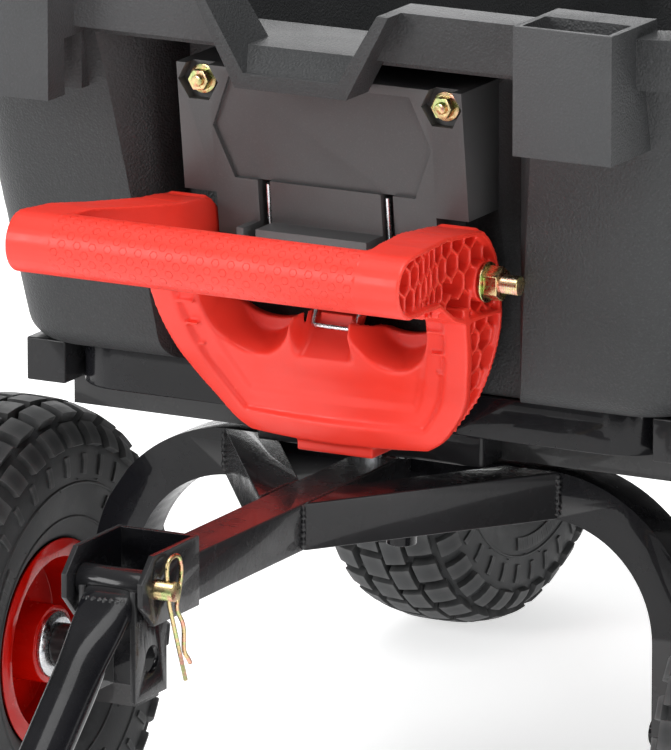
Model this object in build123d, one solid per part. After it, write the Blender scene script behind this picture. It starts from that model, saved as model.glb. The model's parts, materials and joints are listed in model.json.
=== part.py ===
from build123d import *
import os
from math import atan2, cos, hypot, radians, sin, tan

# ---------------------------------------------------------------------------
# Tow behind dump cart. Millimetres, +Z up, front of the cart towards -Y.
# The model is laid out from the front axle line at ground level (Y = 0) and
# is exported with its origin on the ground under the middle of its length.
# ---------------------------------------------------------------------------

# overall layout
contact_gap = 0.3
wheelbase = 579
front_track = 482
rear_track = 526
drawbar_reach = 1010
tub_rear = 736
to_centre = (drawbar_reach - tub_rear) / 2

# wheels and axles
tyre_radius = 130
tyre_width = 86
rim_seat_radius = 50
rim_flange_radius = 57
rim_width = 68
rim_wall = 3
hub_radius = 21
hub_length = 72
bearing_flange_radius = 18
bearing_flange = 4
axle_radius = 8
running_clearance = 0.05
bearing_bore = axle_radius + running_clearance
axle_height = tyre_radius

# steel frame
frame_tube = 23
tube_wall = 2
frame_bottom = 288
frame_top = frame_bottom + frame_tube
frame_front = -52
frame_half_width = 194
rail_end = 622
bolster_bottom = 267.5
bolster_depth = 25
block_half_width = 66
block_front = -36

# front axle
beam_tube = 25
beam_top = 264.5
beam_bottom = beam_top - beam_tube
leg_inner = 152
arch_inner_radius = 60
leg_drop = 24
kingpin_radius = 8
brace_half_width = 98
brace_core = 0.86
tongue_joint_y = -131

# rear axle
rear_beam_half = rear_track / 2 - hub_length / 2 - 12
rear_post_inset = 44
rear_post_x = frame_half_width - rear_post_inset
rear_brace_run = 150
rear_brace_plate = 5

# clevis and drawbar
clevis_front = -316
clevis_web = -258
clevis_height = 36
clevis_half_width = 23
clevis_plate = 3
clevis_chamfer = 12
pin_y = -300
pin_z = 261
pin_radius = 5
sleeve_radius = 8.5
sleeve_half = 19.5
bar_radius = 12.5
base_angle = 43
base_length = 170
grip_radius_pull = 15
pull_half_width = 62
pull_length = 118
pull_rod_radius = 5.5
clip_wire = 1.4
bracket_half_width = 16
bracket_plate = 3
bracket_front = -311
bracket_rear = -279
bracket_bottom = 204
tow_hole_radius = 7
tow_hole_y = -294
tow_hole_z = 223

# tub
tub_bottom = frame_top + 0.4
tub_wall = 4
rim_top = 519
skirt_height = 26
tub_half_bottom = 197
tub_half_top = 230
tub_front_bottom = -68
tub_front_top = -101
tub_rear_bottom = 700
tub_rear_top = 730
rim_overhang = 6
recess_back = -50
recess_half_back = 97
recess_half_front = 122
recess_flare = 22
recess_top = 489
pocket_inner = 133
pocket_width = 55
pocket_depth = 29
pocket_top = 525
pocket_bottom = 459
pocket_wall = 3.5
spout_half_bottom = 32
spout_half_top = 56
spout_bottom = 474
spout_front = -121

# dump handle
pivot_y = -83.3
pivot_z = 379.3
pivot_radius = 5
grip_forward = 116.7
grip_rise = 23.4
grip_radius = 16
grip_half = 112
grip_end_round = 7
grip_wall = 24
ear_inner = 66
ear_outer = 92
ear_radius = 29
apron_half = 91.5
apron_rear = 22
apron_drop = 97
apron_front = 21
apron_tuck = 38
apron_bottom_half = 55
apron_skin = 3.5
scoop_radius = 38
scoop_x = 40
scoop_rise = 2
boss_half = 17
field_depth = 3
hex_cell = 11
hex_rib = 1.6
cell_depth = 14
hook_reach = 36
hook_half = 22
hook_thickness = 7

# handle panel
panel_half = 82
panel_top = 477
panel_notch_z = 409
panel_notch_half = 63.5
panel_bottom = 356
panel_nut_x = 70
panel_nut_z = 468
panel_face_at_nut = -90.4
panel_lean = 0.13
ledge_half = 43
ledge_top = 396
ledge_bottom = 362
ledge_front = -99
label_half = 63
label_half_top = 52
label_rise = 27
label_depth = 2.5
spring_wire = 1.3
coil_wall = 2.8
spring_coil_radius = pivot_radius + contact_gap + coil_wall
coil_line = spring_coil_radius - coil_wall / 2
spring_x = 35.5
spring_bight_half = 14
bight_y = pivot_y + 12
bight_z = pivot_z - 26

# tub hinge
hinge_y = 650
hinge_z = frame_bottom + frame_tube / 2
hinge_rod_radius = 5
hinge_knuckle = 11
hinge_x = 120
hinge_ear_width = 20
hinge_lug = 5
hinge_gap = 0.5

# ---------------------------------------------------------------------------
# helpers
# ---------------------------------------------------------------------------
def block(x0, x1, y0, y1, z0, z1):
    """Box between six coordinates."""
    size = (x1 - x0, y1 - y0, z1 - z0)
    middle = ((x0 + x1) / 2, (y0 + y1) / 2, (z0 + z1) / 2)
    return Pos(*middle) * Box(*size)


def rod_x(x0, x1, y, z, radius):
    """Cylinder along X."""
    return Pos((x0 + x1) / 2, y, z) * Rot(0, 90, 0) * Cylinder(radius, abs(x1 - x0))


def rod_y(y0, y1, x, z, radius):
    """Cylinder along Y."""
    return Pos(x, (y0 + y1) / 2, z) * Rot(90, 0, 0) * Cylinder(radius, y1 - y0)


def rod_z(z0, z1, x, y, radius):
    """Cylinder along Z."""
    return Pos(x, y, (z0 + z1) / 2) * Cylinder(radius, z1 - z0)


def hex_x(x0, x1, y, z, across):
    """Hexagonal prism along X."""
    sketch = Plane(origin=(x0, y, z), z_dir=(1, 0, 0)) * RegularPolygon(across / 2, 6, major_radius=False)
    return extrude(sketch, x1 - x0)


def hex_y(y0, y1, x, z, across):
    """Hexagonal prism along Y."""
    plane = Plane(origin=(x, y0, z), x_dir=(1, 0, 0), z_dir=(0, 1, 0))
    return extrude(plane * RegularPolygon(across / 2, 6, major_radius=False), y1 - y0)


def prism_x(points, x0, x1):
    """Extrude a closed outline of (y, z) points along X."""
    wire = Polyline(*[(x0, y, z) for y, z in points], close=True)
    return extrude(make_face(wire), x1 - x0, dir=(1, 0, 0))


def prism_y(points, y0, y1):
    """Extrude a closed outline of (x, z) points along Y."""
    wire = Polyline(*[(x, y0, z) for x, z in points], close=True)
    return extrude(make_face(wire), y1 - y0, dir=(0, 1, 0))


def prism_z(points, z0, z1):
    """Extrude a closed outline of (x, y) points along Z."""
    wire = Polyline(*[(x, y, z0) for x, y in points], close=True)
    return extrude(make_face(wire), z1 - z0, dir=(0, 0, 1))


def square_tube(path, size, side, wall=tube_wall):
    """Hollow square tube swept along a path; side is a direction across the tube."""
    start = Plane(origin=path @ 0, x_dir=side, z_dir=path % 0)
    outer = Rectangle(size, size)
    inner = Rectangle(size - 2 * wall, size - 2 * wall)
    return sweep(start * (outer - inner), path=path)


def round_bar(path, radius):
    """Round bar swept along a path."""
    start = Plane(origin=path @ 0, z_dir=path % 0)
    return sweep(start * Circle(radius), path=path)


def mirrored(shape):
    """The shape's copy on the other side of the cart."""
    return mirror(shape, Plane.YZ)


def pair(shape):
    """The shape and its mirror image, as two solids."""
    return Compound(children=[shape, mirrored(shape)])


def group(shapes):
    """Several solids under one node."""
    return Compound(children=list(shapes))


def shrunk_in_plan(shape, factor):
    """The shape at a smaller size in X and Y about its own centre."""
    centre = shape.bounding_box().center()
    at_origin = Pos(-centre.X, -centre.Y, -centre.Z) * shape
    return Pos(centre.X, centre.Y, centre.Z) * scale(at_origin, by=(factor, factor, 1))


def curved_face(curve, corners):
    """Face between a smooth curve through some points and straight edges through the rest."""
    bend = Spline(*curve)
    straight = Polyline(curve[-1], *corners, curve[0])
    return make_face(Curve() + [bend, straight])


nodes = {}


def add(name, shape):
    nodes[name] = shape


# ---------------------------------------------------------------------------
# wheels
# ---------------------------------------------------------------------------
def revolve_x(points):
    """Revolve a closed (x, radius) outline about the X axis."""
    face = make_face(Polyline(*[(x, 0, r) for x, r in points], close=True))
    return revolve(face, axis=Axis.X)


def make_tyre():
    half = tyre_width / 2
    seat = rim_seat_radius + contact_gap
    bead = rim_width / 2 - rim_wall - 0.5
    right_outer = [(half * 0.4, tyre_radius), (half * 0.78, tyre_radius - 6),
                   (half * 0.95, tyre_radius - 18), (half, tyre_radius - 34), (half * 0.96, tyre_radius - 52),
                   (bead + 1, seat + 12), (bead, seat + 8), (bead, seat)]
    right_inner = [(bead - 9, seat), (half - 10, tyre_radius - 50), (half - 9, tyre_radius - 30),
                   (half * 0.6, tyre_radius - 15), (0, tyre_radius - 12)]
    left_inner = [(-x, r) for x, r in reversed(right_inner[:-1])]
    left_outer = [(-x, r) for x, r in reversed(right_outer)]
    return revolve_x(right_outer + right_inner + left_inner + left_outer)


def make_rim():
    half = rim_width / 2
    seat = rim_seat_radius
    wall = rim_wall
    right = [(3, seat), (half - wall, seat), (half - wall, rim_flange_radius - 2), (half - wall + 2, rim_flange_radius),
             (half, rim_flange_radius), (half, seat - wall), (5, seat - wall), (5, hub_radius + 6),
             (9, hub_radius), (hub_length / 2 - 4, hub_radius)]
    bore = bearing_flange_radius - 2
    hub_end = [(hub_length / 2 - 4, bore)]
    left = [(-x, r) for x, r in reversed(right)]
    left_hub = [(-hub_length / 2 + 4, bore)]
    return revolve_x(right + hub_end + left_hub + left)


def make_bearing():
    """Flanged bearing at the +X end of the hub."""
    end = hub_length / 2 - 4
    outer = bearing_flange_radius - 2
    return revolve_x([(end - 10, bearing_bore), (end - 10, outer), (end, outer),
                      (end, bearing_flange_radius), (end + 2, bearing_flange_radius),
                      (end + bearing_flange, bearing_flange_radius - 3), (end + bearing_flange, bearing_bore)])


def make_valve():
    """Valve stem through the rim's outer wall."""
    path = Line((4, 0, rim_seat_radius - 12), (32, 0, rim_seat_radius - 16))
    return round_bar(path, 3) - block(0, 5, -10, 10, 0, rim_seat_radius)


def add_wheel(name, x, y):
    side = 1 if x > 0 else -1
    place = Pos(x, y, axle_height) * Rot(0, 0, 0 if side > 0 else 180)
    bearings = pair(make_bearing())
    valve = Rot(35, 0, 0) * make_valve()
    add(f"tyre_{name}", place * make_tyre())
    add(f"rim_{name}", place * make_rim())
    add(f"bearings_{name}", place * bearings)
    add(f"valve_{name}", place * valve)


# ---------------------------------------------------------------------------
# steel frame
# ---------------------------------------------------------------------------
def side_rail():
    x0 = frame_half_width - frame_tube
    rail = block(x0, frame_half_width, frame_front, rail_end, frame_bottom, frame_top)
    hollow = block(x0 + tube_wall, frame_half_width - tube_wall, frame_front + tube_wall, rail_end,
                   frame_bottom + tube_wall, frame_top - tube_wall)
    return rail - hollow


def bent_member(y_face, y_return):
    """Tube across the frame with its ends bent back along the side rails."""
    z = frame_bottom + frame_tube / 2
    half = frame_half_width - frame_tube - frame_tube / 2
    step = frame_tube / 2 if y_return > y_face else -frame_tube / 2
    path = FilletPolyline((-half, y_return, z), (-half, y_face + step, z), (half, y_face + step, z),
                          (half, y_return, z), radius=frame_tube * 0.75)
    return square_tube(path, frame_tube, (1, 0, 0))


def make_frame():
    rail = side_rail()
    add("side_rail_right", rail)
    add("side_rail_left", mirrored(rail))
    front = bent_member(frame_front, frame_front + 70)
    rear = bent_member(rail_end, rail_end - 70)
    add("front_cross_member", front)
    add("rear_cross_member", rear)

    depth = bolster_depth / 2
    beam = block(-frame_half_width + 6, frame_half_width - 6, -depth, depth, bolster_bottom, frame_bottom)
    hollow = block(-frame_half_width, frame_half_width, -depth + tube_wall, depth - tube_wall,
                   bolster_bottom + tube_wall, frame_bottom - tube_wall)
    bore = rod_z(bolster_bottom - 1, frame_bottom + 1, 0, 0, kingpin_radius + running_clearance)
    add("bolster_beam", beam - hollow - bore)
    cap = block(-block_half_width, block_half_width, block_front, -depth, bolster_bottom, frame_bottom)
    cap_hollow = block(-block_half_width + 4, block_half_width - 4, block_front + 4, -depth - 4,
                       bolster_bottom + 4, frame_bottom + 1)
    add("kingpin_block", cap - cap_hollow)

    catch = block(-30, 30, frame_front - 4, frame_front, frame_bottom, frame_bottom + 14)
    add("latch_strike", catch)


def make_kingpin():
    nut_top = beam_bottom - 3
    shank = rod_z(beam_bottom - 28, frame_bottom, 0, 0, kingpin_radius)
    head = extrude(Plane(origin=(0, 0, frame_bottom)) * RegularPolygon(12, 6, major_radius=False), 10)
    add("kingpin", shank + head)
    washer = rod_z(nut_top, nut_top + 2.9, 0, 0, 15)
    nut = extrude(Plane(origin=(0, 0, nut_top - 14)) * RegularPolygon(12, 6, major_radius=False), 14)
    add("kingpin_nut", (washer + nut) - rod_z(nut_top - 20, nut_top + 4, 0, 0, kingpin_radius))
    thrust = rod_z(beam_top + 0.1, bolster_bottom, 0, 0, 30)
    add("thrust_washer", thrust - rod_z(beam_top - 1, bolster_bottom + 1, 0, 0, kingpin_radius + running_clearance))


def make_rear_axle():
    half = beam_tube / 2
    beam = block(-rear_beam_half, rear_beam_half, wheelbase - half, wheelbase + half,
                 axle_height - half, axle_height + half)
    hollow = block(-rear_beam_half - 1, rear_beam_half + 1, wheelbase - half + tube_wall, wheelbase + half - tube_wall,
                   axle_height - half + tube_wall, axle_height + half - tube_wall)
    add("rear_axle_beam", beam - hollow)
    bridge = block(-frame_half_width + 6, frame_half_width - 6, wheelbase - half, wheelbase + half,
                   frame_bottom - beam_tube, frame_bottom)
    bridge_hollow = block(-frame_half_width, frame_half_width, wheelbase - half + tube_wall,
                          wheelbase + half - tube_wall, frame_bottom - beam_tube + tube_wall,
                          frame_bottom - tube_wall)
    add("rear_bridge", bridge - bridge_hollow)
    post = block(rear_post_x - half, rear_post_x + half, wheelbase - half, wheelbase + half,
                 axle_height + half, frame_bottom - beam_tube)
    post_hollow = block(rear_post_x - half + tube_wall, rear_post_x + half - tube_wall,
                        wheelbase - half + tube_wall, wheelbase + half - tube_wall,
                        axle_height + half - 1, frame_bottom - beam_tube + 1)
    add("rear_axle_posts", pair(post - post_hollow))

    low = axle_height + half
    front = wheelbase - half
    rail_inner = frame_half_width - frame_tube
    outline = [(front, low - 6), (front, low + 22), (front - rear_brace_run + 32, frame_bottom),
               (front - rear_brace_run, frame_bottom)]
    brace = prism_x(outline, rail_inner, rail_inner + rear_brace_plate)
    foot = block(rear_post_x, rail_inner + rear_brace_plate, front - rear_brace_plate, front, low - 6, low + 22)
    add("rear_braces", pair(brace + foot))


def add_stub_axles(end_name, inner, x_wheel, y, reach, plug=0):
    """Axle shafts through both hubs, each with the shoulder that its inner bearing runs against."""
    hub_inner = x_wheel - hub_length / 2
    end = x_wheel + hub_length / 2 + reach
    for side, side_name in ((1, "right"), (-1, "left")):
        x0, x1 = sorted((side * inner, side * end))
        shaft = rod_x(x0, x1, y, axle_height, axle_radius)
        x0, x1 = sorted((side * (hub_inner - 8), side * (hub_inner - contact_gap)))
        shaft = shaft + rod_x(x0, x1, y, axle_height, axle_radius + 4)
        if plug:
            x0, x1 = sorted((side * (inner - plug), side * inner))
            half = beam_tube / 2 - tube_wall - 0.1
            shaft = shaft + block(x0, x1, y - half, y + half, axle_height - half, axle_height + half)
        add(f"{end_name}_axle_{side_name}", shaft)


def wheel_retainers(x_wheel, y):
    """Washer and nut outboard of one hub."""
    start = x_wheel + hub_length / 2 + contact_gap
    washer = rod_x(start, start + 2.5, y, axle_height, 15)
    nut = hex_x(start + 2.5, start + 12, y, axle_height, 24)
    return (washer + nut) - rod_x(start - 1, start + 20, y, axle_height, axle_radius)


def make_front_axle():
    half = beam_tube / 2
    z = beam_top - half
    leg_x = leg_inner + half
    leg_end = axle_height - leg_drop
    path = FilletPolyline((-leg_x, 0, leg_end), (-leg_x, 0, z), (leg_x, 0, z), (leg_x, 0, leg_end),
                          radius=arch_inner_radius + half)
    arch = square_tube(path, beam_tube, (0, 1, 0))
    bore = rod_z(beam_bottom - 1, beam_top + 1, 0, 0, kingpin_radius + running_clearance)
    axle_bore = rod_x(-leg_x - 30, leg_x + 30, 0, axle_height, axle_radius)
    arch = arch - bore - (axle_bore - block(-leg_inner + 5, leg_inner - 5, -20, 20, 90, 170))
    add("axle_arch", arch)
    tongue = block(-half, half, clevis_web, -half, beam_bottom, beam_top)
    inner = block(-half + tube_wall, half - tube_wall, clevis_web - 1, -half + 1,
                  beam_bottom + tube_wall, beam_top - tube_wall)
    add("tongue", tongue - inner)

    run_x = brace_half_width - half
    run_y = -half - tongue_joint_y
    angle = atan2(run_y, run_x)
    across = beam_tube / sin(angle)
    outline = [(half, tongue_joint_y), (brace_half_width, -half), (brace_half_width - across, -half),
               (half, -half - (brace_half_width - across - half) * tan(angle))]
    brace = prism_z(outline, beam_bottom, beam_top)
    core = prism_z(outline, beam_bottom + tube_wall, beam_top - tube_wall)
    add("axle_braces", pair(brace - shrunk_in_plan(core, brace_core)))

    add_stub_axles("front", leg_inner - 4, front_track / 2, 0, 14)
    add("front_axle_nuts", pair(wheel_retainers(front_track / 2, 0)))
    add_stub_axles("rear", rear_beam_half, rear_track / 2, wheelbase, 14, plug=20)
    add("rear_axle_nuts", pair(wheel_retainers(rear_track / 2, wheelbase)))


# ---------------------------------------------------------------------------
# clevis and drawbar
# ---------------------------------------------------------------------------
def make_clevis():
    z0 = pin_z - clevis_height / 2
    z1 = pin_z + clevis_height / 2
    cut = clevis_chamfer
    ear_line = [(clevis_web, z0), (clevis_web, z1), (clevis_front + cut, z1), (clevis_front, z1 - cut),
                (clevis_front, z0 + cut), (clevis_front + cut, z0)]
    outer = prism_x(ear_line, -clevis_half_width, clevis_half_width)
    inside = block(-clevis_half_width + clevis_plate, clevis_half_width - clevis_plate, clevis_front - 1,
                   clevis_web - clevis_plate, z0 - 1, z1 + 1)
    bore = rod_x(-clevis_half_width - 1, clevis_half_width + 1, pin_y, pin_z, pin_radius + running_clearance)
    add("clevis", outer - inside - bore)
    pin_end = clevis_half_width + 10
    head = rod_x(-clevis_half_width - 4, -clevis_half_width, pin_y, pin_z, 8)
    shank = rod_x(-clevis_half_width, pin_end, pin_y, pin_z, pin_radius)
    clip_hole = rod_z(pin_z - 10, pin_z + 10, clevis_half_width + 5, pin_y, 1.6)
    add("clevis_pin", head + shank - clip_hole)

    x = clevis_half_width + 5
    bow_top = pin_z + 17
    straight = Line((x, pin_y, pin_z - 46), (x, pin_y, pin_z + 10))
    leg = round_bar(straight, clip_wire)
    path = FilletPolyline((x, pin_y, pin_z + 10), (x, pin_y, bow_top), (x, pin_y + 14, bow_top),
                          (x, pin_y + 14, pin_z + 3), (x, pin_y + 3.2, pin_z - 12),
                          (x, pin_y + 9, pin_z - 22), (x, pin_y + 4, pin_z - 38), (x, pin_y + 9, pin_z - 42),
                          radius=2.6)
    bow = round_bar(path, clip_wire)
    add("hitch_clip", leg + bow)


def along_shaft(distance, x=0.0):
    """Point on the drawbar's main shaft, at a distance from its bend."""
    bend_y = pin_y - base_length * cos(radians(base_angle))
    bend_z = pin_z - base_length * sin(radians(base_angle))
    tip_y = -drawbar_reach + grip_radius_pull
    tip_z = grip_radius_pull
    length = hypot(tip_y - bend_y, tip_z - bend_z)
    t = distance / length
    return (x, bend_y + (tip_y - bend_y) * t, bend_z + (tip_z - bend_z) * t)


def shaft_length():
    a = along_shaft(0)
    return hypot(-drawbar_reach + grip_radius_pull - a[1], grip_radius_pull - a[2])


def make_drawbar():
    sleeve = rod_x(-sleeve_half, sleeve_half, pin_y, pin_z, sleeve_radius)
    bore = rod_x(-sleeve_half - 1, sleeve_half + 1, pin_y, pin_z, pin_radius + running_clearance)
    add("drawbar_sleeve", sleeve - bore)

    path = FilletPolyline((0, pin_y, pin_z), along_shaft(0), along_shaft(shaft_length() - pull_length), radius=70)
    bar = round_bar(path, bar_radius)
    hollow = round_bar(path, bar_radius - 2)
    saddle = rod_x(-30, 30, pin_y, pin_z, sleeve_radius)
    end_trim = prism_x([(pin_y - 30, pin_z + 4), (pin_y + 40, pin_z + 4), (pin_y + 40, pin_z + 60),
                        (pin_y - 30, pin_z + 60)], -30, 30)
    rear_trim = prism_x([(pin_y + 2, pin_z - 30), (pin_y + 40, pin_z - 30), (pin_y + 40, pin_z + 30),
                         (pin_y + 2, pin_z + 30)], -30, 30)
    tube = bar - hollow - saddle - end_trim - rear_trim
    add("drawbar_tube", max(tube.solids(), key=lambda s: s.volume))

    half = bracket_half_width
    channel = block(-half, half, bracket_front, bracket_rear, bracket_bottom, pin_z)
    inside = block(-half + bracket_plate, half - bracket_plate, bracket_front - 1, bracket_rear - bracket_plate,
                   bracket_bottom - 1, pin_z + 1)
    web_trim = block(-half + bracket_plate, half - bracket_plate, bracket_rear - 4, bracket_rear + 1,
                     238, pin_z + 1)
    hole = rod_x(-half - 1, half + 1, tow_hole_y, tow_hole_z, tow_hole_radius)
    add("tow_bracket", channel - inside - web_trim - saddle - hole)


def make_pull_handle():
    """Triangular pull handle at the drawbar's end: bent rod, yoke plug and grip."""
    total = shaft_length()
    bar_end = total - pull_length
    spread = pull_half_width
    rod = pull_rod_radius
    path = FilletPolyline(along_shaft(bar_end + 14, -11), along_shaft(total - 48, -spread),
                          along_shaft(total, -spread), along_shaft(total, spread),
                          along_shaft(total - 48, spread), along_shaft(bar_end + 14, 11), radius=14)
    loop = round_bar(path, rod)
    start = Vector(*along_shaft(bar_end))
    direction = Vector(*along_shaft(bar_end + 1)) - start
    plug_plane = Plane(origin=start, x_dir=(1, 0, 0), z_dir=direction)
    plug = extrude(plug_plane * RectangleRounded(36, 2 * bar_radius, 5), 22)
    add("pull_yoke", plug - loop)
    add("pull_loop", loop)
    grip_half_length = spread - 16
    end = along_shaft(total)
    grip = rod_x(-grip_half_length, grip_half_length, end[1], end[2], grip_radius_pull)
    add("pull_grip", grip - rod_x(-60, 60, end[1], end[2], rod))


# ---------------------------------------------------------------------------
# tub
# ---------------------------------------------------------------------------
def rounded_rect(half_x, y0, y1, z, radius):
    plane = Plane(origin=(0, (y0 + y1) / 2, z))
    return plane * RectangleRounded(2 * half_x, y1 - y0, radius)


def tub_y(front, z):
    """Front or rear wall plane at a height."""
    t = (z - tub_bottom) / (rim_top - tub_bottom)
    if front:
        return tub_front_bottom + (tub_front_top - tub_front_bottom) * t
    return tub_rear_bottom + (tub_rear_top - tub_rear_bottom) * t


def make_tub():
    bottom = rounded_rect(tub_half_bottom, tub_front_bottom, tub_rear_bottom, tub_bottom, 40)
    top = rounded_rect(tub_half_top, tub_front_top, tub_rear_top, rim_top, 46)
    body = loft([bottom, top])
    body = fillet(body.faces().sort_by(Axis.Z)[0].edges(), 16)
    rim = rounded_rect(tub_half_top + rim_overhang, tub_front_top - rim_overhang, tub_rear_top + rim_overhang,
                       rim_top - skirt_height, 52)
    body = body + extrude(rim, skirt_height)

    # spout block at the middle of the front rim
    lip = [(-spout_half_bottom, spout_bottom), (spout_half_bottom, spout_bottom),
           (spout_half_top, rim_top), (-spout_half_top, rim_top)]
    body = body + prism_y(lip, spout_front, tub_y(True, rim_top) + 6)

    # stake pockets on both end walls
    front_face = spout_front - 13
    rear_face = tub_rear
    for side in (1, -1):
        for face, wall in ((front_face, tub_y(True, pocket_bottom) + 8), (rear_face, tub_y(False, pocket_bottom) - 8)):
            x0, x1 = sorted((side * pocket_inner, side * (pocket_inner + pocket_width)))
            y0, y1 = sorted((face, wall))
            body = body + block(x0, x1, y0, y1, pocket_bottom, pocket_top)

    # interior
    inner_bottom = rounded_rect(tub_half_bottom - tub_wall, tub_front_bottom + tub_wall,
                                tub_rear_bottom - tub_wall, tub_bottom + tub_wall, 36)
    inner_top = rounded_rect(tub_half_top - tub_wall - 10, tub_front_top + tub_wall + 12,
                             tub_rear_top - tub_wall - 10, rim_top + 8, 36)
    cavity = loft([inner_bottom, inner_top])
    bump = block(-recess_half_front - tub_wall, recess_half_front + tub_wall, tub_front_top - 30,
                 recess_back + tub_wall, tub_bottom - 1, recess_top + tub_wall)
    body = body - (cavity - bump)

    # recess for the handle panel, narrowing towards its back
    depth_front = spout_front + 24
    z = tub_bottom - 1
    mouth = recess_half_front + recess_flare
    cheek = [(recess_half_back, recess_back, z), (recess_half_back + 6, recess_back - 16, z),
             (recess_half_front - 4, tub_front_top + 14, z), (mouth, tub_front_top - 1, z)]
    right = Spline(*cheek, tangents=((0.2, -1), (1, -0.1)))
    left = mirror(right, Plane.YZ)
    back = Line(left @ 0, right @ 0)
    ahead = Polyline(right @ 1, (mouth, depth_front - 20, z), (-mouth, depth_front - 20, z), left @ 1)
    notch = extrude(make_face(Curve() + [right, left, back, ahead]), recess_top - 0.5 - z, dir=(0, 0, 1))
    spout_keep = block(-60, 60, spout_front - 1, depth_front, spout_bottom, recess_top + 1)
    body = body - (notch - spout_keep)

    # spout valley
    valley = [(-spout_half_bottom + 5, spout_bottom + 8), (spout_half_bottom - 5, spout_bottom + 8),
              (spout_half_top - 6, rim_top + 1), (-spout_half_top + 6, rim_top + 1)]
    floor_back = [(spout_front - 1, spout_bottom + 4), (spout_front + 18, recess_top + tub_wall),
                  (tub_front_top + 40, recess_top + tub_wall), (tub_front_top + 40, rim_top + 2),
                  (spout_front - 1, rim_top + 2)]
    body = body - (prism_y(valley, spout_front - 1, tub_front_top + 30) & prism_x(floor_back, -60, 60))

    # pocket openings
    for side in (1, -1):
        for y0, y1 in ((front_face + pocket_wall, front_face + pocket_depth),
                       (rear_face - 26, rear_face - pocket_wall)):
            x0, x1 = sorted((side * (pocket_inner + pocket_wall), side * (pocket_inner + pocket_width - pocket_wall)))
            floor = pocket_bottom + pocket_wall if y0 < 0 else rim_top - 24
            body = body - block(x0, x1, y0, y1, floor, pocket_top + 1)

    # bolt holes for the handle panel
    for side in (1, -1):
        body = body - rod_y(recess_back - 2, recess_back + tub_wall + 4, side * panel_nut_x, panel_nut_z, 4)
    return body


def panel_face(z):
    """Front face of the leaning handle panel at a height."""
    return panel_face_at_nut - panel_lean * (z - panel_nut_z)


def make_panel():
    back = recess_back - 0.3
    side_line = [(panel_face(panel_top), panel_top), (back, panel_top), (back, panel_bottom),
                 (panel_face(panel_bottom), panel_bottom)]
    body = prism_x(side_line, -panel_half, panel_half)
    for side in (1, -1):
        x0, x1 = sorted((side * panel_notch_half, side * (panel_half + 1)))
        body = body - block(x0, x1, -120, back + 1, panel_bottom - 1, panel_notch_z)
    body = body + block(-ledge_half, ledge_half, ledge_front, panel_face(ledge_bottom) + 4, ledge_bottom, ledge_top)

    # blank label field
    mid = (panel_top + panel_notch_z) / 2 + 2
    field = [(-label_half_top, mid + label_rise), (label_half_top, mid + label_rise), (label_half, mid),
             (label_half_top, mid - label_rise), (-label_half_top, mid - label_rise), (-label_half, mid)]
    above = panel_top + 20
    below = pivot_z
    deep = prism_x([(panel_face(above) - 9, above), (panel_face(above) + label_depth, above),
                    (panel_face(below) + label_depth, below), (panel_face(below) - 9, below)],
                   -panel_half, panel_half)
    body = body - (prism_y(field, -panel_top, 0) & deep)

    # nut pockets and bolt holes
    for side in (1, -1):
        x = side * panel_nut_x
        body = body - hex_y(-120, panel_face_at_nut + 7, x, panel_nut_z, 20)
        body = body - rod_y(-120, back + 1, x, panel_nut_z, 3.2)

    # spring slots, pivot bore and hollow back
    for side in (1, -1):
        x0, x1 = sorted((side * (spring_x - 3.5), side * (spring_x + 3.5)))
        body = body - block(x0, x1, -110, -70, ledge_top - 12, mid - label_rise)
        x0, x1 = sorted((side * (spring_x - 13), side * (spring_x + 3.5)))
        body = body - rod_x(x0, x1, pivot_y, pivot_z, spring_coil_radius + 1.5)
        body = body - block(x0, x1, ledge_front - 1, pivot_y, panel_bottom - 1, pivot_z)
        x0, x1 = sorted((side * (spring_bight_half - 3), side * (spring_x + 3.5)))
        body = body - block(x0, x1, ledge_front - 1, bight_y + 3, panel_bottom - 1, pivot_z)
    body = body - rod_x(-panel_half, panel_half, pivot_y, pivot_z, pivot_radius + running_clearance)
    body = body - block(-panel_notch_half + 4, panel_notch_half - 4, -72, back + 1, ledge_top + 24, panel_top - 4)
    return body


def make_tub_group():
    add("tub", make_tub())
    add("handle_panel", make_panel())

    bolts = []
    nuts = []
    for side in (1, -1):
        x = side * panel_nut_x
        shank = rod_y(panel_face_at_nut - 2, recess_back + tub_wall, x, panel_nut_z, 3)
        head = rod_y(recess_back + tub_wall, recess_back + tub_wall + 4, x, panel_nut_z, 6.5)
        bolts.append(shank + head)
        seat = panel_face_at_nut + 7
        flange = rod_y(seat - 1.8, seat, x, panel_nut_z, 7.5)
        body = hex_y(seat - 7, seat - 1.8, x, panel_nut_z, 10)
        nuts.append((flange + body) - rod_y(-120, -60, x, panel_nut_z, 3))
    add("panel_bolts", group(bolts))
    add("panel_nuts", group(nuts))

    rod = rod_x(-ear_outer - 14, ear_outer + 20, pivot_y, pivot_z, pivot_radius)
    add("pivot_rod", rod)
    fasteners = []
    for side in (1, -1):
        start = side * (ear_outer + contact_gap)
        ring = rod_x(start, start + side * 1.8, pivot_y, pivot_z, 10.5)
        fasteners.append(ring - rod_x(-150, 150, pivot_y, pivot_z, pivot_radius))
        nut = hex_x(min(start + side * 1.8, start + side * 9.8), max(start + side * 1.8, start + side * 9.8),
                    pivot_y, pivot_z, 16)
        fasteners.append(nut - rod_x(-150, 150, pivot_y, pivot_z, pivot_radius))
    add("pivot_nuts", group(fasteners))
    add("release_spring", make_spring())
    make_hinge()


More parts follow.
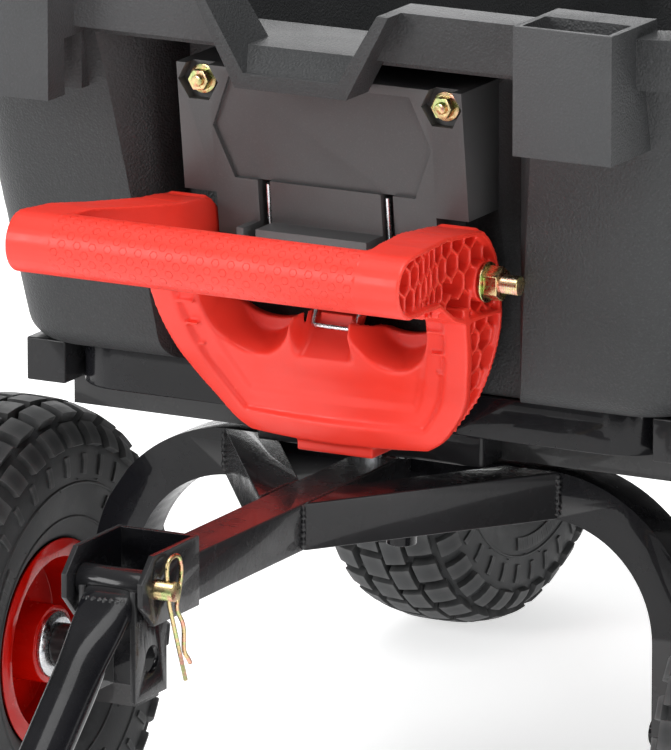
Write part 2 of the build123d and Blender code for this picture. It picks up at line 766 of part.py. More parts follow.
def make_spring():
    """Double torsion spring: two coil barrels, two upper legs and the bight on the handle's boss."""
    coils = []
    for side in (1, -1):
        x0, x1 = sorted((side * (spring_x - 12), side * (spring_x + 1.2)))
        barrel = rod_x(x0, x1, pivot_y, pivot_z, spring_coil_radius)
        barrel = barrel - rod_x(x0 - 1, x1 + 1, pivot_y, pivot_z, spring_coil_radius - coil_wall)
        leg_x = side * (spring_x - 1)
        leg = round_bar(Line((leg_x, pivot_y + coil_line, pivot_z), (leg_x, panel_face(416) + 3, 416)), spring_wire)
        coils.append(barrel + leg)
    inner = spring_x - 10
    low = pivot_z - coil_line
    path = FilletPolyline((-inner, pivot_y - 3, low), (-inner, pivot_y + 6, low - 1),
                          (-spring_bight_half, bight_y - 8, bight_z + 6), (-spring_bight_half, bight_y, bight_z),
                          (spring_bight_half, bight_y, bight_z), (spring_bight_half, bight_y - 8, bight_z + 6),
                          (inner, pivot_y + 6, low - 1), (inner, pivot_y - 3, low), radius=2)
    return coils[0] + coils[1] + round_bar(path, spring_wire)


def make_hinge():
    """Lugs on the frame, brackets under the tub and the rod that joins them."""
    lugs = []
    brackets = []
    for side in (1, -1):
        centre = side * hinge_x
        for step in (-1, 1):
            x_near = centre + step * (hinge_ear_width / 2 + hinge_gap)
            x_far = x_near + step * hinge_lug
            x0, x1 = sorted((x_near, x_far))
            plate = block(x0, x1, rail_end, hinge_y, hinge_z - hinge_knuckle, hinge_z + hinge_knuckle)
            lug = plate + rod_x(x0, x1, hinge_y, hinge_z, hinge_knuckle)
            lugs.append(lug - rod_x(x0 - 1, x1 + 1, hinge_y, hinge_z, hinge_rod_radius))
        x0 = centre - hinge_ear_width / 2
        x1 = centre + hinge_ear_width / 2
        knuckle = rod_x(x0, x1, hinge_y, hinge_z, hinge_knuckle - 1)
        web = block(x0, x1, hinge_y - 4, hinge_y + hinge_knuckle - 2, hinge_z, tub_bottom - 2.5)
        plate = block(centre - 10, centre + 10, hinge_y - 10, hinge_y + 42, tub_bottom - 3, tub_bottom)
        bracket = knuckle + web + plate
        brackets.append(bracket - rod_x(x0 - 1, x1 + 1, hinge_y, hinge_z, hinge_rod_radius + running_clearance))
    add("hinge_lugs", group(lugs))
    add("hinge_brackets", group(brackets))
    end = hinge_x + hinge_ear_width / 2 + hinge_gap + hinge_lug + 8
    add("hinge_rod", rod_x(-end, end, hinge_y, hinge_z, hinge_rod_radius))
    collars = []
    for side in (1, -1):
        x0, x1 = sorted((side * (end - 8), side * (end - 3)))
        collars.append(rod_x(x0, x1, hinge_y, hinge_z, 8) - rod_x(x0 - 1, x1 + 1, hinge_y, hinge_z, hinge_rod_radius))
    add("hinge_collars", group(collars))


# ---------------------------------------------------------------------------
# dump handle
# ---------------------------------------------------------------------------
def rel(points):
    """Side-view points given from the pivot."""
    return [(pivot_y + y, pivot_z + z) for y, z in points]


def hex_cells(plane, columns, rows):
    """Field of hexagonal cells that leaves thin ribs between them."""
    cells = HexLocations(hex_cell, columns, rows)
    return plane * (Sketch() + [place * RegularPolygon(hex_cell - hex_rib, 6, major_radius=False)
                                for place in cells.local_locations])


def apron_profile(set_back):
    """Side view of the apron's front, from its top to its bottom, set back by a distance."""
    shares = [(0, 0.19), (0.17, 0.37), (0.42, 0.56), (0.62, 0.68), (0.85, 0.83), (1, 1)]
    return rel([(set_back - apron_front + apron_tuck * back, -apron_drop * down) for back, down in shares])


def make_dump_handle():
    """Red release handle: grip, two ribbed arms with pivot ears, and the scooped apron between them."""
    grip_y = pivot_y - grip_forward
    grip_z = pivot_z + grip_rise
    grip = rod_x(-grip_half, grip_half, grip_y, grip_z, grip_radius)
    grip = fillet(grip.edges(), grip_end_round)

    arm_line = rel([(-grip_forward, grip_rise + grip_radius), (-44, ear_radius + 3), (-14, ear_radius - 0.5),
                    (-1, ear_radius - 2), (8, 18),
                    (apron_rear - 4, 2), (apron_rear - 4, -20), (-apron_front, -18),
                    (-grip_forward, grip_rise - grip_radius)])
    rear = pivot_y + apron_rear
    plan = [(ear_inner, rear), (ear_inner, pivot_y - 36), (grip_half - grip_wall, grip_y + 4),
            (grip_half - grip_wall, grip_y - 20), (grip_half, grip_y - 20), (grip_half, grip_y + 6),
            (ear_outer, pivot_y - 30), (ear_outer, rear)]
    arm = prism_x(arm_line, ear_inner - 2, grip_half) & prism_z(plan, pivot_z - 60, pivot_z + 60)

    # apron block: side profile and front outline
    rear_line = rel([(apron_rear, -apron_drop), (apron_rear, -20), (apron_rear - 4, 0), (-10, 0)])
    side_curve = [(-apron_half, y, z) for y, z in apron_profile(0)]
    side = curved_face(side_curve, [(-apron_half, y, z) for y, z in rear_line])
    right = [(apron_half, pivot_z - 18), (apron_half - 2.5, pivot_z - 36), (apron_half - 14, pivot_z - 69),
             (apron_half - 24, pivot_z - 83), (apron_bottom_half, pivot_z - apron_drop)]
    y0 = pivot_y - 60
    right_curve = Spline(*[(x, y0, z) for x, z in right])
    left_curve = mirror(right_curve, Plane.YZ)
    bottom = Line(right_curve @ 1, left_curve @ 1)
    top = Polyline(right_curve @ 0, (apron_half, y0, pivot_z), (-apron_half, y0, pivot_z), left_curve @ 0)
    front = extrude(make_face(Curve() + [right_curve, left_curve, bottom, top]), 100, dir=(0, 1, 0))
    apron = extrude(side, 2 * apron_half, dir=(1, 0, 0)) & front

    # hollow behind the skin, with two scoops and a boss left in the skin
    inner = ear_inner - 1.5
    hollow_curve = [(-inner, y, z) for y, z in apron_profile(apron_skin + field_depth)]
    hollow_rest = rel([(apron_rear + 1, -apron_drop + 1), (apron_rear + 1, 2), (-apron_front + 6, 2)])
    hollow = extrude(curved_face(hollow_curve, [(-inner, y, z) for y, z in hollow_rest]), 2 * inner, dir=(1, 0, 0))
    hollow = hollow & block(-inner, inner, pivot_y - 60, rear + 1, pivot_z - apron_drop + 14, pivot_z + 2)
    scoop_y = pivot_y - 22
    scoop_z = pivot_z + scoop_rise
    shells = []
    scoops = []
    for step in (-1, 1):
        place = Pos(step * scoop_x, scoop_y, scoop_z)
        shells.append(place * Sphere(scoop_radius + apron_skin))
        scoops.append(place * Sphere(scoop_radius))
    boss_line = rel([(-apron_front, -34), (10, -28), (apron_rear - 4, -30), (apron_rear - 4, -44), (4, -60),
                     (-apron_front, -60)])
    boss = prism_x(boss_line, -boss_half, boss_half)
    below_lip = block(-apron_half, apron_half, pivot_y - 60, rear + 2, pivot_z - apron_drop, pivot_z - 28)
    for shell in shells:
        hollow = hollow - (shell & below_lip)
    apron = apron - (hollow - boss)
    opening = block(-inner, inner, pivot_y - 60, rear + 2, pivot_z - 28, pivot_z + 1)
    apron = apron - opening
    cap = apron & boss
    for scoop in scoops:
        apron = apron - scoop
    apron = apron + cap

    # notch down the front of the boss and the shallow field below it
    channel = rel([(-40, -36), (2, -30), (-6, -50), (-40, -54)])
    apron = apron - prism_x(channel, -boss_half + 5, boss_half - 5)
    deep_curve = [(-inner, y, z) for y, z in apron_profile(field_depth)]
    deep_rest = rel([(-60, -apron_drop), (-60, -18)])
    deep = extrude(curved_face(deep_curve, [(-inner, y, z) for y, z in deep_rest]), 2 * inner, dir=(1, 0, 0))
    field_right = [(inner, pivot_z - 30), (inner - 1, pivot_z - 48), (inner - 10, pivot_z - 68),
                   (apron_bottom_half - 14, pivot_z - apron_drop + 12)]
    right_curve = Spline(*[(x, y0, z) for x, z in field_right])
    left_curve = mirror(right_curve, Plane.YZ)
    edges = [right_curve, left_curve, Line(right_curve @ 1, left_curve @ 1), Line(right_curve @ 0, left_curve @ 0)]
    apron = apron - (deep & extrude(make_face(Curve() + edges), 100, dir=(0, 1, 0)))

    body = grip + arm + mirrored(arm) + apron

    # open hexagonal ribbing in both sides
    rib_line = rel([(-grip_forward - 10, grip_rise + 4), (-grip_forward + 4, grip_rise + 11), (-42, ear_radius - 5),
                    (-16, ear_radius - 8), (-16, 12), (-16, -13), (14, -13), (18, -50), (15, -66), (8, -58),
                    (-6, -40), (-16, -22), (-24, -14), (-grip_forward + 4, grip_rise - 11),
                    (-grip_forward - 10, grip_rise - 4)])
    cells = hex_cells(Plane(origin=(0, pivot_y - 50, pivot_z - 10), x_dir=(0, 1, 0), z_dir=(1, 0, 0)), 16, 12)
    pockets = make_face(Polyline(*[(0, y, z) for y, z in rib_line], close=True)) & cells
    for step in (1, -1):
        start = step * (ear_outer - cell_depth)
        body = body - extrude(Pos(start, 0, 0) * pockets, step * (grip_half - ear_outer + cell_depth + 1), dir=(1, 0, 0))

    hook = rel([(apron_rear - 6, -apron_drop), (hook_reach, -apron_drop), (hook_reach, -apron_drop - hook_thickness),
                (apron_rear - 6, -apron_drop - hook_thickness)])
    body = body + prism_x(hook, -hook_half, hook_half)
    return body - rod_x(-grip_half, grip_half, pivot_y, pivot_z, pivot_radius + running_clearance)


# ---------------------------------------------------------------------------
# assembly
# ---------------------------------------------------------------------------
make_frame()
make_kingpin()
make_rear_axle()
make_front_axle()
make_clevis()
make_drawbar()
make_pull_handle()
make_tub_group()
add("dump_handle", make_dump_handle())
add_wheel("front_left", -front_track / 2, 0)
add_wheel("front_right", front_track / 2, 0)
add_wheel("rear_left", -rear_track / 2, wheelbase)
add_wheel("rear_right", rear_track / 2, wheelbase)

os.makedirs("parts", exist_ok=True)
for name, shape in nodes.items():
    export_step(Pos(0, to_centre, 0) * shape, f"parts/{name}.step")
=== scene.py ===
import json
import math
import random

import bmesh
import bpy
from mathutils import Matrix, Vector


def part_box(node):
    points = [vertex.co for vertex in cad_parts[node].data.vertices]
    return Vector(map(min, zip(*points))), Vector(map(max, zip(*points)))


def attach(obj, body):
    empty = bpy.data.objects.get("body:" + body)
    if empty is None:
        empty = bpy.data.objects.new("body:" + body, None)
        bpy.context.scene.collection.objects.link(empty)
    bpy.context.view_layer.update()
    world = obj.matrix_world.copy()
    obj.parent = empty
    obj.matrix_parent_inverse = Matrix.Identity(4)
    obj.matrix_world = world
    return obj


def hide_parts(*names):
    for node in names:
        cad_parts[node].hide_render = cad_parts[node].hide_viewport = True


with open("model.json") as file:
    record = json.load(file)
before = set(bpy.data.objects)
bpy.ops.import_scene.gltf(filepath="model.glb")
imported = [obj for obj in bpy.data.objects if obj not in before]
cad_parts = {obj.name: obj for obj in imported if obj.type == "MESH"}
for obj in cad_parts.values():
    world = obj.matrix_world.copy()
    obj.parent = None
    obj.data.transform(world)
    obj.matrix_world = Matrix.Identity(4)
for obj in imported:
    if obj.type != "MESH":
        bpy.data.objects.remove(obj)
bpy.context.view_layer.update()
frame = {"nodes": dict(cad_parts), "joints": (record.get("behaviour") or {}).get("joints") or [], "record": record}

# ---------------------------------------------------------------------------
# Tow behind dump cart: looks. Metres, +Z up, front of the cart towards -Y.
# ---------------------------------------------------------------------------
RECORD = frame["record"]
NODES = frame["nodes"]
BODY_OF = {node: body for body, nodes in RECORD["behaviour"]["bodies"].items() for node in nodes}
JOINTS = {joint["name"]: joint for joint in frame["joints"]}


def joint_point(name):
    return Vector(JOINTS[name]["pos_m"])


def low(node):
    return Vector(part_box(node)[0])


def high(node):
    return Vector(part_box(node)[1])


def middle(node):
    return (low(node) + high(node)) / 2


# ---------------------------------------------------------------------------
# shader helpers
# ---------------------------------------------------------------------------
class Shader:
    """A Principled material with a few node shortcuts."""

    def __init__(self, name, color, roughness, metallic=0.0, coat=0.0, coat_roughness=0.1, specular=0.5):
        self.material = bpy.data.materials.new(name)
        self.material.use_nodes = True
        self.tree = self.material.node_tree
        self.bsdf = self.tree.nodes["Principled BSDF"]
        self.set("Base Color", (*color, 1))
        self.set("Roughness", roughness)
        self.set("Metallic", metallic)
        self.set("Coat Weight", coat)
        self.set("Coat Roughness", coat_roughness)
        self.set("Specular IOR Level", specular)
        self.height = None

    def set(self, socket, value):
        self.bsdf.inputs[socket].default_value = value

    def node(self, kind, **values):
        made = self.tree.nodes.new(kind)
        for key, value in values.items():
            if key in made.inputs:
                self.feed(made.inputs[key], value)
            else:
                setattr(made, key, value)
        return made

    def feed(self, socket, value):
        if isinstance(value, bpy.types.NodeSocket):
            self.tree.links.new(value, socket)
        else:
            socket.default_value = value

    def coords(self):
        return self.node("ShaderNodeTexCoord").outputs["Object"]

    def noise(self, scale, detail=3.0, roughness=0.5):
        made = self.node("ShaderNodeTexNoise", Scale=scale, Detail=detail, Roughness=roughness)
        self.feed(made.inputs["Vector"], self.coords())
        return made.outputs["Fac"]

    def cells(self, scale, feature):
        made = self.node("ShaderNodeTexVoronoi", feature=feature, Scale=scale, Randomness=1.0)
        self.feed(made.inputs["Vector"], self.coords())
        return made.outputs["Distance"]

    def math(self, operation, a, b=0.0, c=0.0):
        made = self.node("ShaderNodeMath", operation=operation)
        for socket, value in zip(made.inputs, (a, b, c)):
            self.feed(socket, value)
        return made.outputs[0]

    def ramp(self, value, low_in, high_in, low_out=0.0, high_out=1.0):
        made = self.node("ShaderNodeMapRange", interpolation_type="SMOOTHSTEP")
        for key, item in (("Value", value), ("From Min", low_in), ("From Max", high_in),
                          ("To Min", low_out), ("To Max", high_out)):
            self.feed(made.inputs[key], item)
        return made.outputs["Result"]

    def mix(self, factor, a, b):
        made = self.node("ShaderNodeMix", data_type="RGBA")
        self.feed(made.inputs[0], factor)
        self.feed(made.inputs[6], (*a, 1) if isinstance(a, tuple) else a)
        self.feed(made.inputs[7], (*b, 1) if isinstance(b, tuple) else b)
        return made.outputs[2]

    def color(self, value):
        self.feed(self.bsdf.inputs["Base Color"], value)

    def roughness(self, value):
        self.feed(self.bsdf.inputs["Roughness"], value)

    def bump(self, value, distance, strength=1.0):
        """Stack one bump map on the last."""
        made = self.node("ShaderNodeBump", Strength=strength, Distance=distance)
        self.feed(made.inputs["Height"], value)
        if self.height:
            self.feed(made.inputs["Normal"], self.height)
        self.height = made.outputs["Normal"]
        self.feed(self.bsdf.inputs["Normal"], self.height)

    def edges(self):
        """Mask that is 1 on convex outer edges, where a painted highlight goes."""
        point = self.node("ShaderNodeNewGeometry").outputs["Pointiness"]
        return self.ramp(point, 0.52, 0.60)


def moulded_plastic(name, color, pale, roughness, grain, depth, edge_highlight=0.35):
    """Grained polyethylene: pebbled bump, slow colour drift and a painted highlight on the edges, mixed towards
    pale.
    """
    s = Shader(name, color, roughness, specular=0.34)
    cloud = s.noise(9, 4, 0.6)
    fleck = s.noise(grain * 0.8, 2, 0.7)
    tone = s.mix(s.ramp(cloud, 0.35, 0.7), color, tuple(c * 1.25 for c in color))
    tone = s.mix(s.math("MULTIPLY", s.ramp(fleck, 0.5, 0.75), 0.25), tone, pale)
    # painted highlight: convex edges mixed towards the pale colour
    tone = s.mix(s.math("MULTIPLY", s.edges(), edge_highlight), tone, pale)
    s.color(tone)
    s.roughness(s.ramp(cloud, 0.3, 0.75, roughness - 0.05, roughness + 0.08))
    pebble = s.cells(grain, "SMOOTH_F1")
    s.bump(pebble, depth, 0.8)
    s.bump(s.noise(grain * 2.2, 2, 0.6), depth * 0.5, 0.5)
    return s


def powder_coat(name, color):
    """Glossy black powder coat with orange peel and a painted grey highlight on the edges."""
    s = Shader(name, color, 0.24, coat=0.26, coat_roughness=0.03, specular=0.12)
    cloud = s.noise(14, 3, 0.55)
    tone = s.mix(s.ramp(cloud, 0.4, 0.75), color, tuple(c * 1.9 for c in color))
    # painted highlight: convex edges mixed towards grey
    tone = s.mix(s.math("MULTIPLY", s.edges(), 0.35), tone, (0.11, 0.11, 0.11))
    s.color(tone)
    s.roughness(s.ramp(s.noise(60, 4, 0.65), 0.3, 0.8, 0.18, 0.34))
    s.bump(s.noise(330, 2, 0.5), 0.00016, 0.55)
    s.bump(s.noise(45, 2, 0.5), 0.0005, 0.2)
    return s


def plated(name, color, tints, roughness):
    """Zinc plate: fine brushing with drifting passivation colours."""
    s = Shader(name, color, roughness, metallic=1.0)
    tone = color
    for index, tint in enumerate(tints):
        patch = s.ramp(s.noise(130 + 60 * index, 2, 0.5), 0.48, 0.66)
        tone = s.mix(patch, tone, tint)
    s.color(tone)
    s.roughness(s.ramp(s.noise(420, 3, 0.6), 0.3, 0.7, roughness - 0.07, roughness + 0.1))
    s.bump(s.noise(900, 2, 0.6), 0.00005, 0.5)
    return s


def rim_paint(name, color):
    s = Shader(name, color, 0.25, coat=0.22, coat_roughness=0.04, specular=0.2)
    cloud = s.noise(22, 3, 0.5)
    s.color(s.mix(s.ramp(cloud, 0.35, 0.75), color, tuple(c * 0.72 for c in color)))
    s.roughness(s.ramp(s.noise(70, 3, 0.6), 0.35, 0.75, 0.16, 0.30))
    s.bump(s.noise(260, 2, 0.5), 0.00012, 0.4)
    return s


def tyre_rubber(name, color):
    """Dusty moulded rubber with fine radial drag marks."""
    s = Shader(name, color, 0.62, specular=0.35)
    dust = s.noise(38, 5, 0.68)
    tone = s.mix(s.ramp(dust, 0.42, 0.72), color, tuple(c * 2.1 for c in color))
    # painted highlight: convex edges mixed towards grey
    tone = s.mix(s.math("MULTIPLY", s.edges(), 0.55), tone, (0.10, 0.10, 0.10))
    s.color(tone)
    s.roughness(s.ramp(dust, 0.35, 0.75, 0.48, 0.72))
    s.bump(s.noise(600, 3, 0.6), 0.00012, 0.6)
    s.bump(s.noise(85, 3, 0.55), 0.0004, 0.35)
    return s


def red_plastic(name, color):
    """Satin red polypropylene with a faint flow mottle."""
    s = Shader(name, color, 0.40, specular=0.45)
    s.set("Subsurface Weight", 0.06)
    s.set("Subsurface Radius", (0.004, 0.001, 0.0006))
    cloud = s.noise(12, 3, 0.5)
    tone = s.mix(s.ramp(cloud, 0.35, 0.75), color, tuple(min(1, c * 1.12) for c in color))
    # painted highlight: convex edges mixed towards a lighter red
    tone = s.mix(s.math("MULTIPLY", s.edges(), 0.25), tone, (0.95, 0.16, 0.10))
    s.color(tone)
    s.roughness(s.ramp(s.noise(90, 3, 0.6), 0.3, 0.75, 0.36, 0.47))
    s.bump(s.noise(1500, 2, 0.5), 0.00004, 0.5)
    return s


def grip_dimples(s, axis, radius, half_length):
    """Raised hexagons in staggered rows round a bar along X."""
    along = 0.0088
    around = 2 * math.pi * radius / 11
    split = s.node("ShaderNodeSeparateXYZ")
    s.feed(split.inputs[0], s.coords())
    x, y, z = split.outputs
    y = s.math("SUBTRACT", y, axis.y)
    z = s.math("SUBTRACT", z, axis.z)
    turn = s.math("MULTIPLY", s.math("ARCTAN2", z, y), radius)
    masks = []
    for shift in (0.0, 0.5):
        u = s.math("FRACT", s.math("ADD", s.math("DIVIDE", x, along), 100 + shift))
        v = s.math("FRACT", s.math("ADD", s.math("DIVIDE", turn, around), 100 + shift))
        u = s.math("MULTIPLY", s.math("ABSOLUTE", s.math("SUBTRACT", u, 0.5)), along)
        v = s.math("MULTIPLY", s.math("ABSOLUTE", s.math("SUBTRACT", v, 0.5)), around)
        slant = s.math("ADD", s.math("MULTIPLY", u, 0.866), s.math("MULTIPLY", v, 0.5))
        masks.append(s.ramp(s.math("MAXIMUM", slant, v), 0.0017, 0.0021, 1.0, 0.0))
    dots = s.math("MAXIMUM", *masks)
    inside = s.ramp(s.math("ABSOLUTE", x), half_length - 0.003, half_length, 1.0, 0.0)
    reach = s.math("SQRT", s.math("ADD", s.math("MULTIPLY", y, y), s.math("MULTIPLY", z, z)))
    near = s.ramp(reach, radius + 0.0008, radius + 0.0014, 1.0, 0.0)
    dots = s.math("MULTIPLY", dots, s.math("MULTIPLY", inside, near))
    s.bump(dots, 0.0005, 0.9)


MATERIALS = {
    "frame_black": powder_coat("frame_black", (0.004, 0.004, 0.005)),
    "zinc_yellow": plated("zinc_yellow", (0.63, 0.49, 0.25), [(0.72, 0.36, 0.26), (0.45, 0.52, 0.22)], 0.26),
    "zinc_bright": plated("zinc_bright", (0.66, 0.67, 0.68), [(0.52, 0.54, 0.57)], 0.24),
    "tub_poly": moulded_plastic("tub_poly", (0.026, 0.027, 0.028), (0.085, 0.087, 0.090), 0.50, 900, 0.00050),
    "panel_poly": moulded_plastic("panel_poly", (0.060, 0.060, 0.061), (0.12, 0.12, 0.12), 0.40, 1500,
                                  0.00005),
    "red_poly": red_plastic("red_poly", (0.76, 0.035, 0.020)),
    "pull_rubber": moulded_plastic("pull_rubber", (0.018, 0.018, 0.018), (0.07, 0.07, 0.07), 0.6, 700,
                                   0.0002),
    "rim_red": rim_paint("rim_red", (0.50, 0.004, 0.001)),
    "tyre_rubber": tyre_rubber("tyre_rubber", (0.022, 0.023, 0.024)),
    "valve_rubber": moulded_plastic("valve_rubber", (0.012, 0.012, 0.012), (0.05, 0.05, 0.05), 0.5, 1200,
                                    0.00008),
}
SLOT_OF = {part["node"]: part["material_slot"] for part in RECORD["subparts"]}


# ---------------------------------------------------------------------------
# mesh helpers
# ---------------------------------------------------------------------------
def new_piece(name, mesh, body, slot_name, material=None, replaces=()):
    piece = bpy.data.objects.new(name, mesh)
    bpy.context.scene.collection.objects.link(piece)
    mesh.materials.clear()
    mesh.materials.append(material or MATERIALS[slot_name].material)
    for polygon in mesh.polygons:
        polygon.use_smooth = True
    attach(piece, body)
    if replaces:
        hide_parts(*replaces)
    return piece


def soften(node, width, segments=2, material=None):
    """A copy of a CAD node with rounded edges, which stands for it."""
    sharpest_smooth_angle = math.radians(32)
    flat_angle = math.radians(0.5)
    mesh = NODES[node].data.copy()
    work = bmesh.new()
    work.from_mesh(mesh)
    bmesh.ops.remove_doubles(work, verts=work.verts, dist=2e-6)
    bmesh.ops.dissolve_limit(work, angle_limit=flat_angle, verts=work.verts, edges=work.edges)
    work.to_mesh(mesh)
    work.free()
    slot_name = SLOT_OF[node]
    piece = new_piece(node + "_look", mesh, BODY_OF[node], slot_name, material, [node])
    bevel = piece.modifiers.new("round_edges", "BEVEL")
    bevel.width = width
    bevel.segments = segments
    bevel.limit_method = "ANGLE"
    bevel.angle_limit = sharpest_smooth_angle
    bevel.harden_normals = True
    bevel.use_clamp_overlap = True
    return piece


def mesh_from(bm, name):
    bmesh.ops.recalc_face_normals(bm, faces=bm.faces)
    mesh = bpy.data.meshes.new(name)
    bm.to_mesh(mesh)
    bm.free()
    return mesh


def tube_mesh(bm, points, radius, sides=10, closed=False, wobble=None):
    """Tube along points; wobble(i) scales the radius at each one."""
    count = len(points)
    rings = []
    reference = None
    for i, point in enumerate(points):
        before = points[i - 1] if i or closed else points[i]
        after = points[(i + 1) % count] if i + 1 < count or closed else points[i]
        tangent = (after - before).normalized()
        if reference is None:
            reference = tangent.orthogonal().normalized()
        reference = (reference - tangent * reference.dot(tangent)).normalized()
        across = tangent.cross(reference)
        r = radius * (wobble(i) if wobble else 1.0)
        ring = []
        for k in range(sides):
            a = 2 * math.pi * k / sides
            ring.append(bm.verts.new(point + (reference * math.cos(a) + across * math.sin(a)) * r))
        rings.append(ring)
    spans = list(zip(rings, rings[1:])) + ([(rings[-1], rings[0])] if closed else [])
    for ring, following in spans:
        for k in range(sides):
            bm.faces.new((ring[k], ring[(k + 1) % sides], following[(k + 1) % sides], following[k]))
    if not closed:
        bm.faces.new(list(reversed(rings[0])))
        bm.faces.new(rings[-1])


# ---------------------------------------------------------------------------
# wheels
# ---------------------------------------------------------------------------
def tyre_section(half_width, radius, seat):
    """Points of the carcass from the crown's middle down to the bead, as (x, r)."""
    points = []
    steps = 26
    belly_r = (radius + seat) / 2 + 0.002
    for i in range(steps + 1):
        t = i / steps
        angle = t * math.radians(142)
        above_belly = angle < math.pi / 2
        x = half_width * math.sin(angle) ** (0.72 if above_belly else 0.55)
        if above_belly:
            r = belly_r + (radius - belly_r) * math.cos(angle) ** 0.62
        else:
            r = belly_r + (belly_r - seat) * math.cos(angle) * 1.12
        points.append((x, r))
    return points


def section_walker(points):
    """Position and outward normal at an arc length along a section."""
    lengths = [0.0]
    for a, b in zip(points, points[1:]):
        lengths.append(lengths[-1] + math.dist(a, b))

    def at(s):
        s = max(0.0, min(s, lengths[-1] - 1e-9))
        i = next(k for k in range(len(points) - 1) if s <= lengths[k + 1])
        t = (s - lengths[i]) / (lengths[i + 1] - lengths[i])
        (x0, r0), (x1, r1) = points[i], points[i + 1]
        n = Vector((r0 - r1, x1 - x0)).normalized()
        return x0 + (x1 - x0) * t, r0 + (r1 - r0) * t, n

    return at


def border(grid):
    """Points round the outside of a grid."""
    return ([row[0] for row in grid] + grid[-1][1:] + [row[-1] for row in reversed(grid[:-1])]
            + grid[0][-2:0:-1])


def add_block(bm, at, centre, side, s0, s1, a0, a1, height, skew=0.0):
    """One tread block between two arc lengths and two angles, standing off the carcass."""
    across_steps, around_steps = 3, 3
    top, base = [], []
    for i in range(across_steps + 1):
        s = s0 + (s1 - s0) * i / across_steps
        x, r, n = at(abs(s))
        sign = side if s >= 0 else -side
        row_top, row_base = [], []
        for j in range(around_steps + 1):
            a = a0 + (a1 - a0) * j / around_steps + skew * (s - s0)
            inset = 0.06
            ta = a + (0.5 - j / around_steps) * (a1 - a0) * inset
            for row, h, angle in ((row_top, height, ta), (row_base, -0.001, a)):
                px = (x + n.x * h) * sign
                pr = r + n.y * h
                row.append(bm.verts.new(centre + Vector((px, pr * math.cos(angle), pr * math.sin(angle)))))
        top.append(row_top)
        base.append(row_base)
    for i in range(across_steps):
        for j in range(around_steps):
            bm.faces.new((top[i][j], top[i + 1][j], top[i + 1][j + 1], top[i][j + 1]))
    rim_top, rim_base = border(top), border(base)
    count = len(rim_top)
    for k in range(count):
        bm.faces.new((rim_top[k], rim_base[k], rim_base[(k + 1) % count], rim_top[(k + 1) % count]))
    unused = [v for row in base for v in row if not v.link_faces]
    bmesh.ops.delete(bm, geom=unused, context="VERTS")


def make_tyre(name):
    node = "tyre_" + name
    centre = middle(node)
    tread = 0.0065
    radius = (high(node).z - low(node).z) / 2 - tread
    half = (high(node).x - low(node).x) / 2 - 0.0016
    seat = (high("rim_" + name).z - low("rim_" + name).z) / 2 - 0.0045
    section = tyre_section(half, radius, seat)
    at = section_walker(section)
    bm = bmesh.new()
    around = 120
    rings = []
    for k in range(around):
        a = 2 * math.pi * k / around
        ring = []
        outline = [(-x, r) for x, r in reversed(section[1:])] + section
        for x, r in outline:
            ring.append(bm.verts.new(centre + Vector((x, r * math.cos(a), r * math.sin(a)))))
        rings.append(ring)
    for k in range(around):
        following = rings[(k + 1) % around]
        for i in range(len(rings[k]) - 1):
            bm.faces.new((rings[k][i], rings[k][i + 1], following[i + 1], following[i]))
    pitches = 34
    pitch = 2 * math.pi / pitches
    for k in range(pitches):
        a = k * pitch
        add_block(bm, at, centre, 1, -0.0125, 0.0005, a + pitch * 0.05, a + pitch * 0.86, tread, skew=1.2)
        add_block(bm, at, centre, 1, 0.0025, 0.0150, a + pitch * 0.55, a + pitch * 1.36, tread, skew=-1.2)
        for side in (1, -1):
            shift = 0.30 if side > 0 else 0.05
            for s0, s1, start, stop, height in (
                    (0.0175, 0.0300, shift, shift + 0.70, tread * 0.92),
                    (0.0335, 0.0460, shift + 0.42, shift + 1.02, tread * 0.55),
                    (0.0500, 0.0610, shift + 0.10, shift + 0.34, 0.0012)):
                add_block(bm, at, centre, side, s0, s1, a + pitch * start, a + pitch * stop, height)
    for side in (1, -1):
        for start, stop in ((0.3, 1.05), (2.4, 3.15), (4.5, 5.25)):
            steps = 10
            for i in range(steps):
                a0 = start + (stop - start) * i / steps
                a1 = start + (stop - start) * (i + 1) / steps
                add_block(bm, at, centre, side, 0.0690, 0.0765, a0, a1 + 0.003, 0.0011)
        for groove in (0.0655, 0.0845):
            points = []
            for k in range(96):
                a = 2 * math.pi * k / 96
                x, r, n = at(groove)
                points.append(centre + Vector((x * side, r * math.cos(a), r * math.sin(a))))
            tube_mesh(bm, points, 0.0009, sides=6, closed=True)
        rng = random.Random(5 if side > 0 else 9)
        for k in range(26):
            a = 2 * math.pi * k / 26 + rng.uniform(-0.03, 0.03)
            s = rng.choice((0.0635, 0.0665, 0.0800))
            x, r, n = at(s)
            base = centre + Vector((x * side, r * math.cos(a), r * math.sin(a)))
            out = Vector((n.x * side, n.y * math.cos(a), n.y * math.sin(a)))
            tube_mesh(bm, [base - out * 0.0005, base + out * 0.0013], 0.0005, sides=5)
    mesh = mesh_from(bm, node + "_look")
    piece = new_piece(node + "_look", mesh, BODY_OF[node], "tyre_rubber", None, [node])
    bevel = piece.modifiers.new("round_edges", "BEVEL")
    bevel.width = 0.0007
    bevel.segments = 1
    bevel.limit_method = "ANGLE"
    bevel.angle_limit = math.radians(40)
    bevel.harden_normals = True
    return piece


